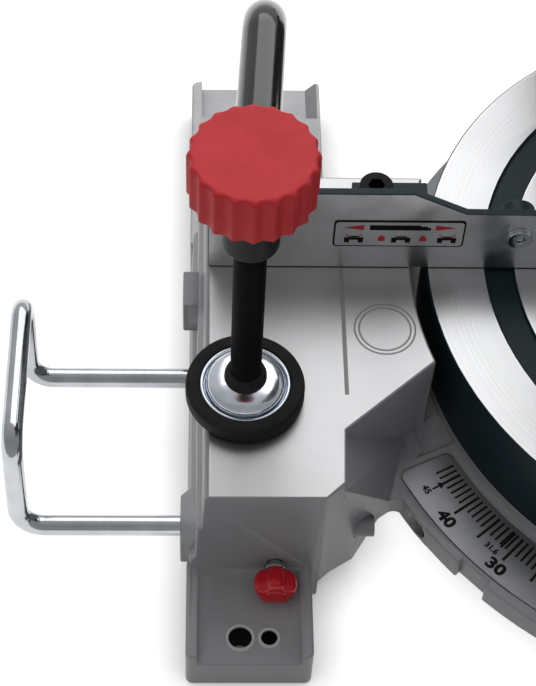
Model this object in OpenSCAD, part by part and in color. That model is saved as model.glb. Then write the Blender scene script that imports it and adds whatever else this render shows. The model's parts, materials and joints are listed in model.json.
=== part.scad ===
// Sliding compound mitre saw with a hold-down clamp and wire table extensions.
// Millimetres, +Z up, front of the saw towards -Y, origin on the bench under the turntable axis.

/* [Table] */
// Height of the table surface above the bench
table_h = 85; // [80:1:100]
// Radius of the turntable
disc_r = 150; // [140:1:156]
// Height of the turntable's side wall
skirt_h = 42; // [36:1:46]
// Thickness of the turntable's top and floor plates
plate_t = 7; // [5:0.5:9]
// Thickness of the turntable's side wall
drum_wall = 8; // [5:0.5:12]
// Outer radius of the painted ring sunk in the turntable
groove_r = 124; // [110:1:130]
// Width of the painted ring
groove_w = 12.5; // [6:0.5:20]
// Depth of the painted ring
groove_d = 1.5; // [0.8:0.1:3]
// Gap between the turntable and the wings
disc_gap = 7.5; // [4:0.5:10]

/* [Base wings] */
// Half width of the base at the table surface
wing_x = 247; // [235:1:265]
// Depth of a wing in front of the fence
wing_front = 118; // [112:1:130]
// Depth of a wing behind the fence
wing_back = 60; // [56:1:70]
// How far a wing's side spreads towards the bench
wing_flare = 8.5; // [4:0.5:14]
// Distance of a wing's front inner corner from the axis
corner_x = 198; // [194:1:204]
// Distance of a wing's inner edge from the axis
shelf_x = 189; // [184:1:192]
// Wall thickness of the base casting
cast_t = 8; // [6:0.5:11]

/* [Feet] */
// Reach of the front feet from the axis
foot_front = 160.5; // [156:0.5:175]
// Reach of the rear feet from the axis
foot_back = 166; // [162:1:180]
// Width of a foot
foot_w = 54; // [48:1:62]
// Thickness of a foot's pad
pad_t = 19; // [12:0.5:22]
// Height of the ribs beside a pad
rib_h = 26; // [23:0.5:30]
// Distance of the bench bolts from the axis along X
bolt_x = 232.4; // [228:0.1:238]
// Distance of the bench bolts from the axis along Y
bolt_y = 148; // [142:0.5:150]
// Diameter of the bench bolt holes
bolt_d = 10; // [8:0.5:12]
// Diameter of the small bench screw holes
screw_hole_d = 7; // [4:0.5:8]

/* [Mitre scale] */
// Outer radius of the scale flange round a turntable of 150 mm radius
flange_r = 185; // [184:1:194]
// Thickness of the scale flange
flange_t = 13; // [9:0.5:15]
// Drop of the scale flange under the turntable's wall
flange_drop = 6; // [4:0.5:8]
// Radial width of the scale plate
scale_w = 26; // [18:1:28]
// Thickness of the scale plate
scale_t = 1; // [0.8:0.1:1.5]
// Angle of the pointer to the left of the arm
pointer_turn = 15; // [12:0.5:17]

/* [Fence] */
// Height of the fence's outer part
fence_h = 50; // [44:1:60]
// Height of the fence's inner part
fence_low_h = 36; // [28:1:40]
// Thickness of the fence's face plate
fence_t = 3.5; // [3:0.5:6]
// Distance from the axis where the fence starts to drop
fence_drop_x = 160; // [150:1:170]
// Distance of the fence's inner end from the axis
fence_in_x = 45; // [40:1:60]
// Travel of the sliding fence
fence_travel = 14; // [8:1:16]

/* [Clamp] */
// Distance of the clamp's post from the axis along X
post_x = 224; // [218:1:226]
// Distance of the clamp's post behind the fence face
post_y = 50; // [46:1:54]
// Diameter of the clamp's bent bar
post_d = 18; // [12:0.5:18]
// Height of the clamp's arm above the table
arm_h = 115; // [95:1:130]
// Reach of the clamp from its post to its spindle
clamp_reach = 118; // [105:1:125]
// Turn of the clamp's arm to the left
clamp_turn = 3.5; // [0:0.5:8]
// Diameter of the clamp's spindle
spindle_d = 13; // [10:0.5:14]
// Diameter of the collar that carries the spindle
collar_d = 22; // [19:0.5:26]
// Diameter of the clamp's foot
foot_pad_d = 50; // [40:1:54]
// Diameter of the clamp's knob
clamp_knob_d = 48.2; // [36:0.2:54]
// Height of the clamp's knob
clamp_knob_h = 23; // [16:0.5:28]
// Flutes round the clamp's knob
clamp_flutes = 20; // [14:1:24]

/* [Table extension] */
// Diameter of the extension wire
wire_d = 9; // [6:0.5:10]
// Drop of the wires under the table surface
wire_drop = 55; // [53:0.5:57]
// Place of the rear wire along Y
wire_rear_y = -23; // [-30:1:-15]
// Place of the front wire along Y
wire_front_y = -100; // [-102:1:-90]
// Distance of the extension's end bar from the axis
wire_out = 328; // [300:1:350]
// How far the legs lean back up to the end bar
wire_lean = 10; // [0:1:14]
// Bend radius of the wire
wire_bend = 11; // [9:0.5:16]
// Diameter of the extension's lock knob
star_d = 19; // [15:0.5:20]
// Distance of the lock knob from the axis
lock_x = 217.5; // [214:0.5:224]

/* [Table arm] */
// Width of the table's front arm
arm_w = 72; // [64:1:74]
// Reach of the front arm from the axis
arm_reach = 322; // [318:1:340]
// Width of the slot in the kerf insert
kerf_w = 8; // [6:0.5:10]
// Width of the kerf insert
insert_w = 44; // [36:1:50]
// Thickness of the kerf insert
insert_t = 4; // [3:0.5:5]
// Diameter of the mitre lock knob
mitre_knob_d = 50; // [40:1:54]

/* [Bevel and slide] */
// Radius of the bevel joint's discs
trunnion_r = 46; // [40:1:47]
// Diameter of the bevel pivot
bevel_pin_d = 20; // [16:0.5:24]
// Diameter of the slide rails
rail_d = 25; // [20:0.5:28]
// Distance between the slide rails
rail_gap = 64; // [56:1:68]
// Height of the slide rails above the table
rail_h = 132; // [130:1:140]
// Travel of the slide
stroke = 190; // [150:1:190]

/* [Saw head] */
// Diameter of the saw blade
blade_d = 254; // [216:1:256]
// Width of the blade's cut
blade_t = 2.6; // [2:0.1:3.2]
// Bore of the saw blade
blade_bore = 30; // [25:0.5:30]
// Teeth of the saw blade
teeth = 48; // [24:1:60]
// Height of the chop pivot above the table
pivot_h = 190; // [188:1:200]
// Height of the blade's axis above the table when lowered
cut_h = 95; // [92:1:100]
// Angle that the head swings through
chop = 40; // [34:1:42]
// Diameter of the motor
motor_d = 92; // [80:1:100]
// Length of the motor
motor_l = 130; // [115:1:150]
// Diameter of the bar of the handle
grip_d = 28; // [24:0.5:32]

/* [Fits] */
// Radial clearance of turning and sliding fits
run = 0.05; // [0.03:0.01:0.1]
// Clearance between pieces that pass each other
pass = 0.4; // [0.3:0.05:0.6]

/* [Hidden] */
$fn = 96;
skin = 0.01;

skirt_z = table_h - skirt_h;
flange_z = skirt_z - flange_drop;
well_r = disc_r + disc_gap;
floor_z = 12;
floor_top = 22;
ring_r = well_r + cast_t;
lip_w = drum_wall - 1;
glide_t = 1.8;
glide_z = skirt_z - glide_t - 0.1;
fence_seat = 52;
diagonal_y = 85;
foot_in_x = wing_x + wing_flare - foot_w;
foot_corner = 3;
boss_out = wing_flare + 2.8;
rib_t = 5;
tray_h = 6;
tray_l = 25;
screw_hole_x = bolt_x - 12.4;
scale_in_r = disc_r + 4;
plain_disc_r = 150;
rim_r = flange_r + disc_r - plain_disc_r;
scale_left = 49.5;
detents = [-31.6, -15, 0, 15, 31.6];
notch_w = 15;
notch_d = 3;
scale_end_r = scale_in_r + scale_w + 1;
line_w = 1.8;
mark_x = disc_r + 20.3;
mark_y = 33.5;
mark_d = 0.4;
mark_w = 0.8;
mark_radii = [11.6, 13.6];
saddle_fillet = 5;
saddle_turn = 36;
saddle_reach = 58;
saddle_step = 1;
flange_half = 66;
saddle_wall = [-shelf_x + 2, -wing_front + 12.8];
saddle_back = [-shelf_x + 30, -diagonal_y + 26];
saddle_way = [cos(saddle_turn), sin(saddle_turn)];
saddle_from = saddle_wall + saddle_fillet * [saddle_way[1], -saddle_way[0]];
saddle_on = saddle_from * saddle_way;
saddle_rim = pow(rim_r + saddle_fillet, 2);
saddle_run = -saddle_on - sqrt(pow(saddle_on, 2) - saddle_from * saddle_from + saddle_rim);
saddle_mid = saddle_from + saddle_run * saddle_way;

wire_z = table_h - wire_drop;
wire_in = 174;
wire_push = 52;
wire_top_z = table_h - wire_d / 2;
wire_tilt = atan(wire_lean / (wire_top_z - wire_z));
bend_thin = 0.2;
bend_lap = 1;
lock_shank_d = 6;
lock_tip_y = wire_front_y - wire_d / 2 - 0.5;
star_gap = 4;
star_h = 13;
knob_room = 1;

fence_screw_y = 33;
fence_screw_x = 172;
fence_foot_t = 8;
fence_foot_back = 42;
face_screw_x = 112;
face_screw_z = 23;
label_mid_x = 164.5;
label_w = 57;
label_h = 17.5;
label_z = 15.5;

spindle_x = -post_x - clamp_reach * sin(clamp_turn);
spindle_y = post_y - clamp_reach * cos(clamp_turn);
arm_z = table_h + arm_h;
arm_bend = 24;
post_foot_z = 8;
collar_h = 22;
pad_h = 9;
pad_floor = 3;
dish_r = foot_pad_d / 2 - 6;
spindle_foot_z = table_h + pass + pad_floor + 7.2;
clamp_knob_z = arm_z + collar_h / 2 + 5.5;

front_box_y = arm_reach - 58;
arm_floor_z = skirt_z;
box_z = pad_t + 1.5;
lock_z = flange_z - flange_t / 2;
rod_d = 12;
slot_w = kerf_w + 8;
kerf_front = arm_reach - 26;
kerf_back = 72;
insert_lap = 12;
hub_r = 24;
pivot_d = 16;
nut_pocket_r = 19;
nut_z = skirt_z - 2;
lever_w = 6;
lever_x = -arm_w / 2 - lever_w - pass;
lever_pin_d = 8;
lever_pin_y = -arm_reach + 46;
lever_z = arm_floor_z + 7;

neck_w = 90;
trunnion_y = disc_r + 10;
trunnion_t = 40;
bevel_y = trunnion_y + trunnion_t + pass;
bevel_t = 52;
house_y = bevel_y + 15;
house_l = 70;
house_w = rail_gap + rail_d + 28;
house_h = rail_d + 40;
rail_z = table_h + rail_h;
bush_t = 3;
bush_l = 24;
rail_y = house_y - 50;
rail_l = house_l + 50 + stroke + 15;
end_plate_t = 15;
bracket_l = 40;
bracket_y = rail_y - 5;
bracket_h = rail_d + 10;

pivot_y = bracket_y + 22;
pivot_z = table_h + pivot_h;
pin_d = 16;
ear_t = 14;
ear_in = 30;
ear_r = 22;
arm_l = 200;
drop = pivot_h - cut_h;
arbor_y = pivot_y - arm_l * cos(chop) - drop * sin(chop);
arbor_z = pivot_z + arm_l * sin(chop) - drop * cos(chop);

blade_r = blade_d / 2;
guard_wall = 1.5;
lower_r = blade_r + 6;
lower_x = 17;
upper_x = 20;
upper_r = lower_r + 6;
upper_from = 30;
upper_to = 225;
lower_from = -128;
lower_to = 34;
hub_ring_r = 28;
web_r = hub_ring_r + 8;
guard_open_r = blade_r * 0.55;
shaft_d = 16;
bearing_d = 35;
bearing_w = 8;
flange_wheel_r = 25;
flange_wheel_t = 6.5;
case_x = upper_x;
belt_x = case_x + 2 * bearing_w + 4;
belt_w = 12;
belt_t = 3;
cover_x = belt_x + belt_w + 6;
cover_t = 4;
pulley_r = 32;
motor_pulley_r = 12;
motor_dy = 40;
motor_dz = 57;
motor_x = cover_x + cover_t;
motor_wall = 4;
field_x = 30;
field_l = 60;
field_t = 13;
motor_shaft_d = 10;

grip_x = 10;
grip_rear = [-40, 164];
grip_top = [-132, 196];
grip_front = [-182, 174];
grip_low = [-170, 128];
grip_foot = [-112, 104];
grip_slope = atan2(grip_top[1] - grip_rear[1], grip_rear[0] - grip_top[0]);
trigger_at = (grip_rear + grip_top) / 2 + [-12, 4];
trigger_l = 36;
trigger_w = 11;
trigger_travel = 4;

spring_r = 12.5;
spring_wire = 2.4;
spring_curls = 4;
spring_pitch = 3.2;
spring_sides = 6;
spring_rings = 8;

// Block between two opposite corners
module box(a, b) {
    translate(a) cube(b - a);
}

// Round bar along X
module bar_x(x0, x1, r) {
    translate([x0, 0, 0]) rotate([0, 90, 0]) cylinder(r = r, h = x1 - x0);
}

// Round bar along Y
module bar_y(y0, y1, r) {
    translate([0, y0, 0]) rotate([-90, 0, 0]) cylinder(r = r, h = y1 - y0);
}

// Round bar along Z
module bar_z(z0, z1, r) {
    translate([0, 0, z0]) cylinder(r = r, h = z1 - z0);
}

// Ring about Z
module ring(z0, z1, r0, r1) {
    difference() {
        bar_z(z0, z1, r1);
        bar_z(z0 - 1, z1 + 1, r0);
    }
}

// Ring sector about Z, between two mitre angles counted to the left from the front
module sector(z0, z1, r0, r1, a0, a1) {
    rotate([0, 0, 270 - a1])
        rotate_extrude(angle = a1 - a0)
            translate([r0, z0]) square([r1 - r0, z1 - z0]);
}

// Places a child at a mitre angle, with the child's front pointing outwards
module at_mitre(a) {
    rotate([0, 0, -a]) children();
}

// Sweeps a profile of radius and X place about the blade axis, between two angles up from the front
module fan(a0, a1) {
    rotate([0, 90, 0]) rotate([0, 0, 270 - a1]) rotate_extrude(angle = a1 - a0) children();
}

// Places a child on the blade axis with the head raised
module at_arbor() {
    translate([0, arbor_y, arbor_z]) children();
}

// Places a child on the motor axis with the head raised
module at_motor() {
    translate([0, arbor_y + motor_dy, arbor_z + motor_dz]) children();
}

// Star shaped knob outline
module star(r, lobes) {
    lobe_r = r * 0.3;
    circle(r = r * 0.74);
    for (i = [0 : lobes - 1])
        rotate([0, 0, i * 360 / lobes]) translate([r - lobe_r, 0]) circle(r = lobe_r);
}

// Outline of one wing seen from above, without the part that spreads
module shelf_outline() {
    polygon([[-corner_x, -wing_front], [-shelf_x - 1, -wing_front + 7.5], [-shelf_x, -diagonal_y],
        [-disc_r, -diagonal_y + 34], [-disc_r + 10, -40], [-disc_r + 10, fence_seat],
        [-corner_x, fence_seat]]);
}

// Section of the left wing across its spreading side
module wing_section() {
    step = wing_flare / 4;
    polygon([[-wing_x, table_h], [-wing_x - step / 2, table_h - 2], [-wing_x - step, table_h - 24],
        [-wing_x - 2 * step, table_h - 27], [-wing_x - 2.3 * step, table_h - 50],
        [-wing_x - 3.3 * step, table_h - 53], [-wing_x - wing_flare, 0], [-corner_x, 0],
        [-corner_x, table_h]]);
}

// Hollow cast body of the left wing
module wing_shell() {
    difference() {
        union() {
            translate([0, wing_back, 0])
                rotate([90, 0, 0]) linear_extrude(wing_front + wing_back) wing_section();
            translate([0, 0, floor_z]) linear_extrude(table_h - floor_z) shelf_outline();
            wing_web();
        }
        box([-wing_x + cast_t - 3, -wing_front + cast_t, -1],
            [-corner_x - cast_t + 3, wing_back - cast_t, table_h - cast_t]);
    }
}

// Sloping web from the wing's inner corner down to the scale flange
module wing_web() {
    hull() {
        translate([0, 0, floor_z]) linear_extrude(1)
            polygon([[-foot_in_x + 1, -wing_front], [-shelf_x + 6, -wing_front + 11],
                [-shelf_x + 21, -diagonal_y + 2], [-shelf_x, -diagonal_y + 25], [-corner_x, -60]]);
        translate([0, 0, table_h - 13]) linear_extrude(1)
            polygon([[-corner_x, -wing_front], [-shelf_x - 1, -wing_front + 7.5],
                [-shelf_x, -diagonal_y], [-corner_x, -diagonal_y]]);
    }
}

// Rectangle from the origin with rounded corners
module rounded(w, h, r) {
    translate([r, 0]) square([w - 2 * r, h]);
    translate([0, r]) square([w, h - 2 * r]);
    for (x = [r, w - r], y = [r, h - r])
        translate([x, y]) circle(r = r);
}

// Outline of the saddle at the scale flange, with a fillet into the flange's rim
function saddle_bend(i) =
    saddle_mid + saddle_fillet * [-sin(saddle_turn - i * 16), cos(saddle_turn - i * 16)];
module saddle_outline() {
    polygon(concat([saddle_wall], [for (i = [0 : 6]) saddle_bend(i)],
        [scale_end_r * [-sin(saddle_reach), -cos(saddle_reach)], saddle_back,
            [-shelf_x, -diagonal_y + 25]]));
}

// Saddle that carries the wing's front corner over into the scale flange
module saddle() {
    translate([0, 0, flange_z - flange_t + saddle_step])
        linear_extrude(flange_t - saddle_step) saddle_outline();
    hull() {
        translate([0, 0, flange_z - 1]) linear_extrude(1)
            polygon([saddle_wall, saddle_bend(0), scale_end_r * [-sin(flange_half), -cos(flange_half)],
                saddle_back, [-shelf_x, -diagonal_y + 25]]);
        translate([0, 0, table_h - 7]) linear_extrude(1)
            polygon([[-corner_x, -diagonal_y], [-shelf_x - 1, -wing_front + 7.5], [-shelf_x, -diagonal_y]]);
    }
}

// Front foot with sloping ribs and an open dished pad, pointing towards -Y
module front_foot() {
    x_out = wing_x + wing_flare;
    x_in = foot_in_x;
    difference() {
        translate([-x_out, -foot_front, 0])
            linear_extrude(rib_h) rounded(x_out - x_in, foot_front - wing_front + 4, foot_corner);
        hull() {
            translate([0, 0, rib_h]) linear_extrude(1)
                polygon([[-x_out + rib_t, -wing_front - 1], [-x_in - rib_t, -wing_front - 1],
                    [-x_in - rib_t, -foot_front - 4], [-x_out + rib_t, -foot_front - 4]]);
            translate([0, 0, pad_t]) linear_extrude(1)
                polygon([[-x_out + 3 * rib_t, -wing_front - 3], [-x_in - 3 * rib_t, -wing_front - 3],
                    [-x_in - rib_t, -foot_front - 4], [-x_out + rib_t, -foot_front - 4]]);
        }
    }
}

// Rear foot with upright ribs and a walled end
module rear_foot() {
    x_out = wing_x + wing_flare;
    x_in = foot_in_x - 12;
    difference() {
        translate([-x_out, wing_back - 4, 0])
            linear_extrude(rib_h) rounded(x_out - x_in, foot_back - wing_back + 4, foot_corner);
        translate([0, foot_back + 1, 0]) rotate([90, 0, 0]) linear_extrude(tray_l + 1)
            polygon([[-x_out + rib_t, rib_h + 1], [-x_out + rib_t, rib_h - tray_h],
                [-x_in - rib_t - 2, rib_h - tray_h], [-x_in - 1.5, rib_h], [-x_in - 1.5, rib_h + 1]]);
    }
}

// Left wing with its feet, clamp socket and screw boss, before drilling
module wing() {
    wing_shell();
    saddle();
    front_foot();
    rear_foot();
    translate([-post_x, post_y, 0]) bar_z(0, table_h - 1, post_d / 2 + cast_t - 2);
    box([-lock_x - 12, -wing_front + 1, wire_z - 12], [-lock_x + 12, lock_tip_y - 3, wire_z + 12]);
    box([-wing_x - boss_out, 0, table_h - 50], [-wing_x, 20, table_h - 30]);
    translate([0, wire_front_y + 12, wire_z]) rotate([90, 0, 0]) linear_extrude(24.5)
        polygon([[-wing_x, 19], [-wing_x - 3, 19], [-wing_x - boss_out, 6], [-wing_x - boss_out, -10.5],
            [-wing_x, -10.5]]);
}

// Holes of the left wing
module wing_holes() {
    translate([-bolt_x, -bolt_y, 0]) bar_z(-1, table_h, bolt_d / 2);
    translate([-bolt_x, bolt_y, 0]) bar_z(-1, table_h, bolt_d / 2);
    translate([-screw_hole_x, -bolt_y, 0]) bar_z(-1, table_h, screw_hole_d / 2);
    translate([-screw_hole_x, bolt_y, 0]) bar_z(-1, table_h, screw_hole_d / 2);
    translate([-post_x, post_y, 0]) bar_z(post_foot_z, table_h + 1, post_d / 2 + run);
    translate([0, wire_rear_y, wire_z]) bar_x(-wire_out, -wire_in + wire_push + 2, wire_d / 2 + run);
    translate([0, wire_front_y, wire_z]) bar_x(-wire_out, -wire_in + wire_push + 2, wire_d / 2 + run);
    translate([-lock_x, 0, wire_z]) {
        bar_y(-wing_front - 1, wire_front_y, lock_shank_d / 2 + run);
        bar_y(-wing_front - star_gap - star_h - knob_room, -wing_front - star_gap + knob_room,
            star_d / 2 + knob_room);
    }
    translate([-fence_screw_x, fence_screw_y, 0]) bar_z(table_h - 20, table_h + 1, 4 + run);
    translate([-shelf_x, 0, 0])
        box([0, -diagonal_y + 17.5, table_h - 1], [line_w, 1, table_h + 1]);
    translate([-mark_x, -mark_y, 0])
        for (r = mark_radii)
            ring(table_h - mark_d, table_h + 1, r - mark_w, r);
}

module base_casting() {
    color("#85888c") {
        difference() {
            union() {
                wing();
                mirror([1, 0, 0]) wing();
                bar_z(floor_z, flange_z - 1, ring_r);
                sector(flange_z - flange_t, flange_z, disc_r, rim_r, -flange_half, flange_half);
            }
            bar_z(flange_z, table_h + 1, well_r);
            bar_z(floor_top, flange_z + 1, disc_r - lip_w);
            bar_z(floor_z - 1, floor_top + 1, pivot_d / 2 + run);
            wing_holes();
            mirror([1, 0, 0]) wing_holes();
            sector(flange_z - scale_t + 0.2, flange_z + 1, scale_in_r - pass,
                scale_in_r + scale_w + pass, -scale_left - 0.3, pointer_turn + scale_left + 0.3);
            for (a = detents)
                at_mitre(a + pointer_turn)
                    box([-notch_w / 2, -rim_r - 1, flange_z - flange_t - 1],
                        [notch_w / 2, -rim_r + notch_d, flange_z + 1]);
        }
        ring(flange_z - 2, glide_z, disc_r - lip_w, disc_r);
    }
}

module mitre_scale() {
    color("#c9cbcc")
        sector(flange_z - scale_t + 0.2, flange_z + 0.2, scale_in_r, scale_in_r + scale_w,
            -scale_left, pointer_turn + scale_left);
}

module glide_ring() {
    color("#202224") ring(glide_z, glide_z + glide_t, disc_r - lip_w + 0.5, disc_r - 0.5);
}

module pivot_bolt() {
    color("#9a9da0") {
        bar_z(floor_z - 1, nut_z + 8, pivot_d / 2);
        bar_z(floor_z - 9, floor_z, pivot_d * 0.9, $fn = 6);
    }
}

module pivot_nut() {
    color("#b4b7ba") difference() {
        union() {
            bar_z(nut_z + pass, nut_z + 2, nut_pocket_r - 2);
            translate([0, 0, nut_z + 1.5]) cylinder(r = pivot_d * 0.9, h = 6, $fn = 6);
        }
        bar_z(nut_z - 1, nut_z + 9, pivot_d / 2 + run);
    }
}

// Fence screw and washer on the left
module fence_screw() {
    head_z = table_h + pass + fence_foot_t + 0.1;
    translate([-fence_screw_x, fence_screw_y, 0]) difference() {
        union() {
            bar_z(table_h - 18, head_z + 1, 4);
            bar_z(head_z, head_z + 2, 9);
            bar_z(head_z + 2, head_z + 9, 7.5);
        }
        translate([0, 0, head_z + 5]) cylinder(r = 3.6, h = 5, $fn = 6);
    }
}

module fence_screws() {
    color("#4b4e52") {
        fence_screw();
        mirror([1, 0, 0]) fence_screw();
    }
}

// Left fence with its face towards -Y
module fence() {
    low_x = fence_drop_x - 24;
    foot_x0 = -fence_screw_x - 10;
    foot_x1 = -fence_screw_x + fence_travel + 10;
    difference() {
        union() {
            translate([0, fence_t, table_h + pass]) rotate([90, 0, 0]) linear_extrude(fence_t)
                polygon([[-wing_x, 0], [-wing_x, fence_h - 3], [-wing_x + 3, fence_h],
                    [-fence_drop_x, fence_h], [-low_x, fence_low_h + 1],
                    [-fence_in_x - 2, fence_low_h], [-fence_in_x, fence_low_h - 2],
                    [-fence_in_x, 0]]);
            box([-wing_x + 4, fence_t - 1, table_h + pass],
                [-fence_in_x - 4, fence_t + 9, table_h + pass + 12]);
            box([foot_x0, fence_t, table_h + pass],
                [foot_x1, fence_foot_back, table_h + pass + fence_foot_t]);
            for (x = [foot_x0, foot_x1 - 4])
                translate([x, 0, table_h + pass]) rotate([90, 0, 90]) linear_extrude(4)
                    polygon([[fence_t - 1, 2], [fence_foot_back - 16, 2], [fence_t - 1, fence_low_h - 4]]);
            translate([-face_screw_x, 0, table_h + face_screw_z]) bar_y(1, 14, 8);
        }
        box([-fence_screw_x, fence_screw_y - 4.5, table_h - 1],
            [-fence_screw_x + fence_travel, fence_screw_y + 4.5, table_h + 20]);
        for (x = [0, fence_travel])
            translate([-fence_screw_x + x, fence_screw_y, 0]) bar_z(table_h - 1, table_h + 20, 4.5);
        translate([-fence_screw_x, fence_screw_y, 0])
            bar_z(table_h + pass + fence_foot_t, table_h + 30, 9.5);
        box([-fence_screw_x, fence_screw_y - 9.5, table_h + pass + fence_foot_t],
            [-fence_screw_x + fence_travel, fence_screw_y + 9.5, table_h + 30]);
        translate([-fence_screw_x + fence_travel, fence_screw_y, 0])
            bar_z(table_h + pass + fence_foot_t, table_h + 30, 9.5);
        translate([-face_screw_x, 0, table_h + face_screw_z]) bar_y(-1, 15, 3 + run);
    }
}

module left_fence() {
    color("#aeb3b6") fence();
}

module right_fence() {
    color("#aeb3b6") mirror([1, 0, 0]) fence();
}

module left_fence_label() {
    corner = 2;
    color("#d7d9da") translate([-label_mid_x, 0, table_h + label_z]) rotate([90, 0, 0])
        linear_extrude(0.4) translate([-label_w / 2, 0]) rounded(label_w, label_h, corner);
}

// Button head screw in the left fence's face
module face_screw() {
    translate([-face_screw_x, 0, table_h + face_screw_z]) difference() {
        union() {
            bar_y(-2.6, 0, 5.5);
            bar_y(-1, 14, 3);
        }
        translate([0, -3, 0]) rotate([-90, 0, 0]) cylinder(r = 2.3, h = 2.2, $fn = 6);
    }
}

module left_face_screw() {
    color("#c8cacc") face_screw();
}

module right_face_screw() {
    color("#c8cacc") mirror([1, 0, 0]) face_screw();
}

// Bend of the wire about Z, from +X round towards +Y, drawn a little thinner by the bending
module wire_elbow(turn) {
    rotate_extrude(angle = turn) translate([wire_bend, 0]) circle(d = wire_d - bend_thin);
}

// Length of a leg up to its upper bend, with the end bar towards side
function leg_length(side) =
    (wire_top_z - wire_z - wire_bend + side * wire_bend * sin(wire_tilt)) / cos(wire_tilt);

// Place along Y where the end bar meets the upper bend of a leg
function bar_end(y, side) = y + leg_length(side) * sin(wire_tilt) + side * wire_bend * cos(wire_tilt);

// One leg of the left extension, from inside the wing up to the end bar, with the bar towards side
module wire_leg(y, side) {
    translate([0, y, wire_z]) {
        bar_x(-wire_out + wire_bend - bend_lap, -wire_in, wire_d / 2);
        rotate([-wire_tilt, 0, 0]) {
            translate([-wire_out + wire_bend, 0, wire_bend])
                rotate([90, 0, 0]) rotate([0, 0, 180]) wire_elbow(90);
            translate([-wire_out, 0, 0]) bar_z(wire_bend - bend_lap, leg_length(side) + bend_lap, wire_d / 2);
            translate([-wire_out, side * wire_bend, leg_length(side)]) rotate([0, 0, side * 90])
                rotate([90, 0, 0]) rotate([0, 0, 90 + side * wire_tilt]) wire_elbow(90 - side * wire_tilt);
        }
    }
}

// Left extension with two legs and an end bar along Y
module extension() {
    wire_leg(wire_rear_y, -1);
    wire_leg(wire_front_y, 1);
    translate([-wire_out, 0, wire_top_z])
        bar_y(bar_end(wire_front_y, 1) - bend_lap, bar_end(wire_rear_y, -1) + bend_lap, wire_d / 2);
}

module left_extension() {
    color("#d3d6d8") extension();
}

module right_extension() {
    color("#d3d6d8") mirror([1, 0, 0]) extension();
}

// Star knob of the left extension's lock
module lock_knob() {
    y = -wing_front - star_gap;
    translate([-lock_x, 0, wire_z]) difference() {
        union() {
            translate([0, y, 0]) rotate([90, 0, 0]) linear_extrude(star_h - 3) star(star_d / 2, 5);
            bar_y(y - star_h, y - 2, star_d * 0.29);
        }
        bar_y(y - star_h + 4, y + 1, lock_shank_d / 2 + run);
    }
}

// Threaded shank of the left extension's lock
module lock_screw() {
    y = -wing_front - star_gap;
    translate([-lock_x, 0, wire_z]) {
        bar_y(y - star_h + 4.2, lock_tip_y, lock_shank_d / 2);
        bar_y(y + 0.2, y + 2, lock_shank_d * 0.75);
    }
}

module left_lock_knob() {
    color("#b3202a") lock_knob();
}

module left_lock_screw() {
    color("#c3c6c8") lock_screw();
}

module right_lock_knob() {
    color("#b3202a") mirror([1, 0, 0]) lock_knob();
}

module right_lock_screw() {
    color("#c3c6c8") mirror([1, 0, 0]) lock_screw();
}

// Places a child on the clamp's post with the arm along -Y
module at_post() {
    translate([-post_x, post_y, 0]) rotate([0, 0, -clamp_turn]) children();
}

module clamp_arm() {
    color("#17181a") at_post() difference() {
        union() {
            bar_z(post_foot_z + pass, arm_z - arm_bend, post_d / 2);
            translate([0, -arm_bend, arm_z - arm_bend]) rotate([0, 0, -90]) rotate([90, 0, 0])
                rotate([0, 0, 90]) rotate_extrude(angle = 90)
                    translate([arm_bend, 0]) circle(d = post_d);
            translate([0, 0, arm_z]) bar_y(-clamp_reach + 2, -arm_bend, post_d / 2);
        }
        translate([0, -clamp_reach, 0])
            bar_z(arm_z - collar_h, arm_z + collar_h, collar_d / 2);
    }
}

module clamp_collar() {
    bevel = 2.5;
    color("#1d1e20") translate([spindle_x, spindle_y, arm_z - collar_h / 2]) difference() {
        rotate_extrude() polygon([[0, 0], [collar_d / 2 - bevel, 0], [collar_d / 2, bevel],
            [collar_d / 2, collar_h - bevel], [collar_d / 2 - bevel, collar_h], [0, collar_h]]);
        bar_z(-1, collar_h + 1, spindle_d / 2 + run);
    }
}

module clamp_pad() {
    color("#151617") translate([spindle_x, spindle_y, table_h + pass]) difference() {
        rotate_extrude() polygon([[0, 0], [foot_pad_d / 2 - 2, 0], [foot_pad_d / 2, 2],
            [foot_pad_d / 2, pad_h - 1.5], [foot_pad_d / 2 - 1.5, pad_h], [0, pad_h]]);
        bar_z(pad_floor, pad_h + 1, dish_r + run);
    }
}

module clamp_dish() {
    socket = spindle_d / 2 + run;
    color("#cfd2d4") translate([spindle_x, spindle_y, table_h + pass + pad_floor])
        rotate_extrude() polygon([[0, 0], [dish_r, 0], [dish_r, pad_h - pad_floor - 1],
            [dish_r - 2, pad_h - pad_floor], [dish_r - 5, pad_h - pad_floor + 1],
            [dish_r - 9, pad_h - pad_floor + 5], [socket + 2.5, 16], [socket, 16], [socket, 7], [0, 7]]);
}

module clamp_spindle() {
    color("#1a1b1c") translate([spindle_x, spindle_y, 0])
        bar_z(spindle_foot_z, clamp_knob_z + clamp_knob_h - 6, spindle_d / 2);
}

module clamp_knob() {
    r = clamp_knob_d / 2;
    flute = r * 0.115;
    rim = 1.6;
    color("#b8262f") translate([spindle_x, spindle_y, clamp_knob_z]) difference() {
        rotate_extrude() polygon([[0, 0], [r - rim, 0], [r, rim], [r, clamp_knob_h - rim],
            [r - rim, clamp_knob_h], [r - 5, clamp_knob_h], [r - 7, clamp_knob_h - 0.8],
            [0, clamp_knob_h - 0.8]]);
        for (i = [0 : clamp_flutes - 1])
            rotate([0, 0, i * 360 / clamp_flutes]) translate([r + flute * 0.35, 0, 0])
                bar_z(-1, clamp_knob_h + 1, flute);
        bar_z(-1, clamp_knob_h - 6 + skin, spindle_d / 2 + run);
    }
}

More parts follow.
